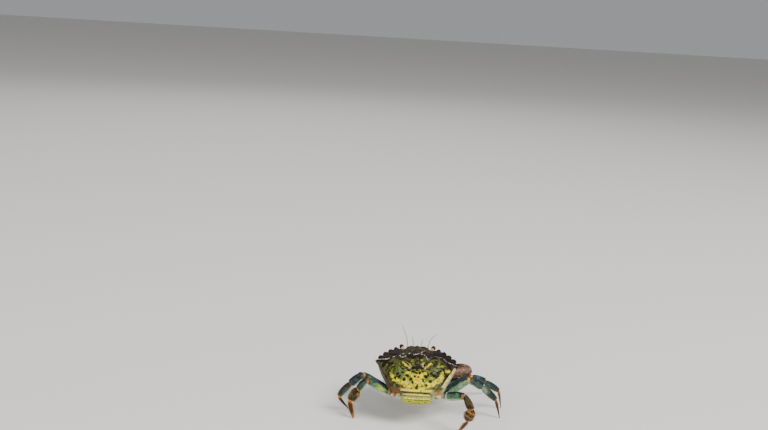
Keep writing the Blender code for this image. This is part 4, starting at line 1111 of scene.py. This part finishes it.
chance = random.Random(5)
skin_chitin = chitin("joint_skin", 2600.0, 0.00005, 900.0, 0.45)
for name in LEG_POSE:
    side = side_of(name)
    number = int(name[-1])
    points, turns = leg_line(name)
    steps = [(b - a).normalized() for a, b in zip(points, points[1:])]
    halves = [steps[0]] + [(a + b).normalized() for a, b in zip(steps, steps[1:])] + [steps[-1]]
    leaving = [steps[k].lerp(halves[k], BENDS[ARTICLES[k]]).normalized() for k in range(5)]
    arriving = [steps[k].lerp(halves[k + 1], BENDS[ARTICLES[k]]).normalized() for k in range(5)]
    joints = []
    hairs = []
    for k, article in enumerate(ARTICLES):
        paddle = number == 5 and article in PADDLES
        shape = PADDLES[article] if paddle else SHAPES[article]
        flat = PADDLE_SHARE[article] if paddle else WIDTH_SHARE[article]
        half = HALF_HEIGHTS[number][k] * UNIT
        across = Vector((0.0, 0.0, 1.0)).cross(direction(turns[k], 0.0, side))
        first_face = (arriving[k - 1] + leaving[k]).normalized() if k > 0 else None
        last_face = (arriving[k] + leaving[k + 1]).normalized() if k < 4 else None
        start = points[k] + (first_face * JOINT_GAP / 2 if k > 0 else Vector())
        end = points[k + 1] - (last_face * JOINT_GAP / 2 if k < 4 else Vector())

        def outline(share, angle):
            size = half * blend(shape, share) * ridges(angle, article)
            if k > 0:
                root = 0.86 if paddle else 0.74
                size *= root + (1.0 - root) * smooth(share, 0.0, 0.09)
            if k < 4:
                size *= 1.0 - 0.16 * smooth(share, 0.965, 1.0) + 0.03 * spread((share - 0.95) / 0.04)
            else:
                size *= 1.0 - 0.6 * smooth(share, 0.97, 1.0)
            keel = 1.0 - 0.25 * max(math.sin(angle), 0.0)
            return max(size * flat * keel, TIP_HALF * 0.4), max(size, TIP_HALF * 0.5)

        axis = bend(start, end, leaving[k], arriving[k])
        rings = HIP_RINGS if article == "hip" else LEG_RINGS
        bm, facts = sweep(axis, across, outline, LEG_SIDES, rings, first_face, last_face)
        for vert in bm.verts:
            vert.co.z = max(vert.co.z, 0.0)
        tints = [leg_tint(name, article, share, angle, point) for share, angle, point in facts]
        for share, angle, point in facts:
            if paddle and abs(math.sin(angle)) > 0.985 and 0.14 < share < 0.90:
                along = (axis(share) - axis(share - 0.05)).normalized()
                away = (point - axis(share)).normalized() + along * 0.7
                away += Vector([chance.uniform(-0.2, 0.2) for _ in range(3)])
                hairs.append((point - away * 0.0001, point + away * chance.uniform(*HAIR_LENGTHS)))
        material = {"hip": root_chitin, "dactyl": tip_chitin}.get(article, leg_chitin)
        slot = {"hip": "leg_root", "dactyl": "leg_tip"}.get(article, "leg")
        node = "leg_%s_%s" % (name, article)
        finish_piece(node + "_shell", bm, tints, 0.5, material, slot, node)
        if k < 4:
            next_half = HALF_HEIGHTS[number][k + 1] * UNIT
            size = min(half * shape[-1], next_half * 0.8)
            hinge = (across - last_face * across.dot(last_face)).normalized()
            joints.append((points[k + 1], last_face, hinge, size * flat, size))
    joint_skins("leg_%s_joints" % name, joints)
    if hairs:
        bristles("leg_%s_bristles" % name, [hair for hair in hairs if hair[1].z > HAIR_CLEARANCE])


# Two claws are folded in front of the mouth. Each has an arm, a knuckled wrist with a spine,
# and a swollen palm whose fixed finger meets the moving one along a row of blunt teeth.
CLAW_POINTS = {
    "left": ((0.150, -0.130, -0.210), (0.390, -0.225, -0.205),
             (0.335, -0.375, -0.215), (-0.060, -0.505, -0.205)),
    "right": ((0.150, -0.130, -0.205), (0.618, -0.200, -0.152),
              (0.485, -0.340, -0.260), (0.100, -0.530, -0.220)),
}
CLAW_SIZES = {
    "arm": ((0.045, 0.056, 0.064, 0.068, 0.064), (0.045, 0.050, 0.054, 0.058, 0.056)),
    "wrist": ((0.062, 0.080, 0.082, 0.068), (0.058, 0.070, 0.072, 0.062)),
}
PALM_HEIGHTS = (0.062, 0.092, 0.106, 0.110, 0.106, 0.050, 0.042, 0.034, 0.026, 0.012)
PALM_WIDTHS = (0.055, 0.068, 0.074, 0.074, 0.066, 0.040, 0.036, 0.030, 0.022, 0.012)
PALM_DROPS = (0.0, 0.0, 0.0, -0.004, -0.010, -0.060, -0.062, -0.056, -0.044, -0.024)
FINGER_HEIGHTS = (0.050, 0.046, 0.038, 0.030, 0.020, 0.011)
FINGER_WIDTHS = (0.044, 0.040, 0.034, 0.028, 0.020, 0.010)
CLAW_RED = (0.200, 0.080, 0.045)
CLAW_OLIVE = (0.075, 0.070, 0.020)
CLAW_PALE = (0.500, 0.380, 0.190)
CLAW_DUSTY = (0.240, 0.125, 0.090)
CLAW_DARK = (0.070, 0.030, 0.028)
CLAW_FRECKLE = (0.480, 0.330, 0.250)
FIXED_FINGER = 0.52     # where on the palm's length its fixed finger starts
SPINE_ANGLE = math.radians(22.5)     # the wrist's spine points inward and a little up
SPINE_PLACE = 0.5975
ARM_MESH = (48, 48)     # sides and rings
PALM_MESH = (56, 110)
FINGER_MESH = (40, 70)
claw_chitin = chitin("claw_shell", 1500.0, 0.00016, 700.0, 0.50)


def claw_tint(point, up, tip):
    """Mottled red-brown and olive, paler below, with a horny tip."""
    mottle = noise.noise(point * 380.0)
    fine = noise.noise(point * 1200.0)
    tint = mix(CLAW_RED, CLAW_OLIVE, 0.50 + 1.1 * mottle + 0.3 * up)
    tint = mix(tint, BROWN_BLACK, 0.55 * smooth(fine, 0.08, 0.32) * smooth(up, -0.5, 0.1))
    tint = mix(tint, CLAW_PALE, smooth(-up + 0.5 * fine + 0.4 * mottle, 0.20, 0.65))
    return mix(tint, HORN, tip)


def arm_tint(point, up, share, dusty):
    """The arm and the wrist are duller, speckled dark and light, and orange at their far end."""
    tint = mix(claw_tint(point, up, 0.0), CLAW_DUSTY, dusty)
    speck = noise.noise(point * 700.0) + 0.5 * noise.noise(point * 2200.0)
    tint = mix(tint, CLAW_DARK, 0.7 * smooth(speck, 0.05, 0.30))
    tint = mix(tint, CLAW_FRECKLE, 0.6 * smooth(-speck, 0.25, 0.45))
    return mix(tint, JOINT_ORANGE, 0.35 * smooth(share, 0.95, 0.98))


def tooth_tint(tint, share, facing, start):
    """Paler blunt teeth where the fingers meet."""
    row = smooth(share, start, start + 0.04) * smooth(share, 0.90, 0.80)
    return mix(tint, BONE, 0.7 * smooth(facing, 0.70, 0.95) * row)


def teeth(share, facing, spacing, height, fade):
    """How far the row of blunt teeth stands out where the fingers meet."""
    if facing <= 0.2:
        return 0.0
    return height * max(0.0, math.sin(share * spacing)) * smooth(share, 0.98, fade) * facing


upward = (body.to_3x3() @ Vector((0.0, 0.0, 1.0))).normalized()
for side_name, side in SIDES:
    points = [on_body(side * x, y, z) for x, y, z in CLAW_POINTS[side_name]]
    steps = [(b - a).normalized() for a, b in zip(points, points[1:])]
    faces = [(a + b).normalized() for a, b in zip(steps, steps[1:])]
    joints = []
    for k, article in enumerate(("arm", "wrist")):
        heights, widths = CLAW_SIZES[article]
        start = points[k] + (faces[k - 1] * JOINT_GAP / 2 if k else Vector())
        end = points[k + 1] - faces[k] * JOINT_GAP / 2
        leaving = steps[k].lerp(faces[k - 1], 0.5) if k else steps[k]
        axis = bend(start, end, leaving, steps[k].lerp(faces[k], 0.35))

        def outline(share, angle):
            size = ridges(angle, "merus")
            if k:
                size *= 0.72 + 0.28 * smooth(share, 0.0, 0.16)
                turned = abs(angle - (math.pi - SPINE_ANGLE if side > 0 else SPINE_ANGLE))
                size *= 1.0 + 0.62 * math.exp(-abs(share - SPINE_PLACE) / 0.09 - turned / 0.26)
            size *= UNIT * (1.0 - 0.14 * smooth(share, 0.95, 1.0))
            return size * blend(widths, share), size * blend(heights, share)

        first_face = faces[k - 1] if k else None
        bm, facts = sweep(axis, upward.cross(steps[k]), outline, *ARM_MESH, first_face, faces[k])
        tints = [arm_tint(point, math.sin(angle), share, 0.6 - 0.3 * k) for share, angle, point in facts]
        node = "claw_%s_%s" % (side_name, article)
        finish_piece(node + "_shell", bm, tints, 0.5, claw_chitin, "claw", node)
        hinge = upward.cross(faces[k]).normalized()
        size = UNIT * min(heights[-1], 0.062)
        joints.append((points[k + 1], faces[k], hinge, size * 0.9, size))

    wrist, tip = points[2:]
    reach = steps[2]
    across = upward.cross(reach)
    above = reach.cross(across).normalized()
    palm_axis = bend(wrist + faces[1] * JOINT_GAP / 2, tip, faces[1].lerp(reach, 0.5), reach)

    def palm_path(share):
        return palm_axis(share) + above * UNIT * blend(PALM_DROPS, share)

    def palm_outline(share, angle):
        size = 0.72 + 0.28 * smooth(share, 0.0, 0.10)
        size *= 1.0 + 0.035 * hump(abs(angle), 0.75, 0.15) * smooth(share, 0.55, 0.30)
        beads = math.sin(share * 110.0) * hump(angle, math.pi / 2, 0.12)
        size *= 1.0 + 0.020 * beads * smooth(share, 0.50, 0.40)
        size *= 1.0 - 0.5 * smooth(share, 0.97, 1.0)
        bite = teeth(share, math.sin(angle), 95.0, 0.012, 0.80) if share > FIXED_FINGER else 0.0
        return UNIT * size * blend(PALM_WIDTHS, share), UNIT * (size * blend(PALM_HEIGHTS, share) + bite)

    bm, facts = sweep(palm_path, across, palm_outline, *PALM_MESH, faces[1], None)
    tints = []
    for share, angle, point in facts:
        tint = claw_tint(point, math.sin(angle), smooth(share, 0.80, 0.92))
        tints.append(tooth_tint(tint, share, math.sin(angle), FIXED_FINGER))
    node = "claw_%s_palm" % side_name
    finish_piece(node + "_shell", bm, tints, 0.45, claw_chitin, "claw", node)

    root = wrist + reach * 0.230 * UNIT + above * UNIT * 0.055
    end = tip + above * UNIT * 0.020 - reach * UNIT * 0.004

    def finger_outline(share, angle):
        size = 0.80 + 0.20 * smooth(share, 0.0, 0.10)
        size *= 1.0 - 0.5 * smooth(share, 0.97, 1.0)
        size *= 1.0 + 0.04 * hump(angle, math.pi / 2, 0.2)
        height = 0.94 * blend(FINGER_HEIGHTS, share)
        bite = teeth(share, -math.sin(angle), 60.0, 0.004, 0.75)
        return UNIT * size * blend(FINGER_WIDTHS, share), UNIT * (size * height + bite)

    finger_axis = bend(root, end, reach + above * 0.45, reach - above * 0.65)
    bm, facts = sweep(finger_axis, across, finger_outline, *FINGER_MESH)
    tints = []
    for share, angle, point in facts:
        tint = claw_tint(point, math.sin(angle), smooth(share, 0.64, 0.84))
        tints.append(tooth_tint(tint, share, -math.sin(angle), 0.20))
    node = "claw_%s_finger" % side_name
    finish_piece(node + "_shell", bm, tints, 0.45, claw_chitin, "claw", node)
    joint_skins("claw_%s_joints" % side_name, joints)


# Each eye is a short pale stalk that stands out of its socket, with a dark brown cornea
# of tiny facets over its end.
EYE_ROOT = (0.150, -0.330, -0.030)
EYE_END = (0.212, -0.402, 0.040)
EYE_HALVES = (0.020, 0.022, 0.023, 0.026, 0.029, 0.029, 0.029)
STALK = (0.560, 0.470, 0.230)
CORNEA = (0.030, 0.012, 0.006)
EYE_BASE = 0.028        # the soft round root in the socket
EYE_MESH = (32, 40)     # sides and rings
eye_chitin = chitin("eye_stalk_and_cornea", 9000.0, 0.00002, 1200.0, 0.22)
for side_name, side in SIDES:
    root, end = [on_body(side * x, y, z) for x, y, z in (EYE_ROOT, EYE_END)]

    def eye_path(share):
        return root.lerp(end, share)

    def eye_outline(share, angle):
        size = UNIT * blend(EYE_HALVES, share) * (1.0 - 0.08 * spread((share - 0.52) / 0.05))
        size *= math.sqrt(max(1.0 - max((share - 0.72) / 0.28, 0.0) ** 2, 0.02))
        return size, size

    bm, facts = sweep(eye_path, Vector((1.0, 0.0, 0.0)), eye_outline, *EYE_MESH)
    tints = []
    for share, angle, point in facts:
        dark = smooth(share - 0.10 * math.sin(angle), 0.56, 0.60)
        tint = mix(STALK, JOINT_ORANGE, 0.4 * smooth(noise.noise(point * 900.0), 0.0, 0.4))
        tints.append(mix(tint, CORNEA, dark))
    made = bmesh.ops.create_uvsphere(bm, u_segments=24, v_segments=14, radius=UNIT * EYE_BASE,
                                     matrix=Matrix.Translation(root.lerp(end, -0.04)))
    tints += [mix(CREAM, OLIVE_BROWN, 0.55)] * len(made["verts"])
    node = "eye_" + side_name
    finish_piece(node + "_stalk", bm, tints, 0.1, eye_chitin, "eye", node)


# Two long feelers and two short ones stand up from under the front edge. They are fine
# pale whips of many rings, thicker at the root.
FEELERS = {    # root, bow, end, and how thick the root and the whip are
    "antenna_left": ((0.125, -0.385, -0.035), (0.135, -0.470, 0.080), (0.205, -0.540, 0.235),
                     0.012, 0.0050),
    "antenna_right": ((0.125, -0.385, -0.035), (0.155, -0.455, 0.085), (0.235, -0.500, 0.150),
                      0.012, 0.0050),
    "antennule_left": ((0.045, -0.385, -0.035), (0.055, -0.450, 0.040), (0.075, -0.470, 0.120),
                       0.011, 0.0048),
    "antennule_right": ((0.045, -0.385, -0.035), (0.050, -0.455, 0.020), (0.060, -0.490, 0.065),
                        0.011, 0.0048),
}
FEELER_TAN = (0.420, 0.330, 0.190)
FEELER_MESH = (12, 160)     # sides and rings
FEELER_KNUCKLES = (    # the two root articles: place, reach, swell
    (0.050, 0.055, 0.75), (0.135, 0.035, 0.35),
)
feeler_chitin = chitin("feeler_rings", 4000.0, 0.00002, 900.0, 0.40)
for name, (root, bow, end, thick, thin) in FEELERS.items():
    points = [on_body(side_of(name) * x, y, z) for x, y, z in (root, bow, end)]

    def feeler_path(share):
        return blend(points, share)

    def feeler_outline(share, angle):
        size = UNIT * (thin + (thick - thin) * max(0.0, 1.0 - 4.0 * share) ** 0.7)
        size *= 1.0 + 0.10 * math.cos(share * 260.0)
        for place, reach, swell in FEELER_KNUCKLES:
            size *= 1.0 + swell * math.sqrt(max(0.0, 1.0 - ((share - place) / reach) ** 2))
        size *= math.sqrt(min(share / 0.03 + 0.06, 1.0))
        size *= 1.0 - 0.55 * smooth(share, 0.75, 1.0)
        return size, size

    bm, facts = sweep(feeler_path, Vector((1.0, 0.0, 0.0)), feeler_outline, *FEELER_MESH)
    tints = [mix(FEELER_TAN, OLIVE_BROWN, 0.6 * smooth(0.25 - share, 0.0, 0.2)) for share, _, _ in facts]
    finish_piece(name + "_whip", bm, tints, 0.0, feeler_chitin, "feeler", name)
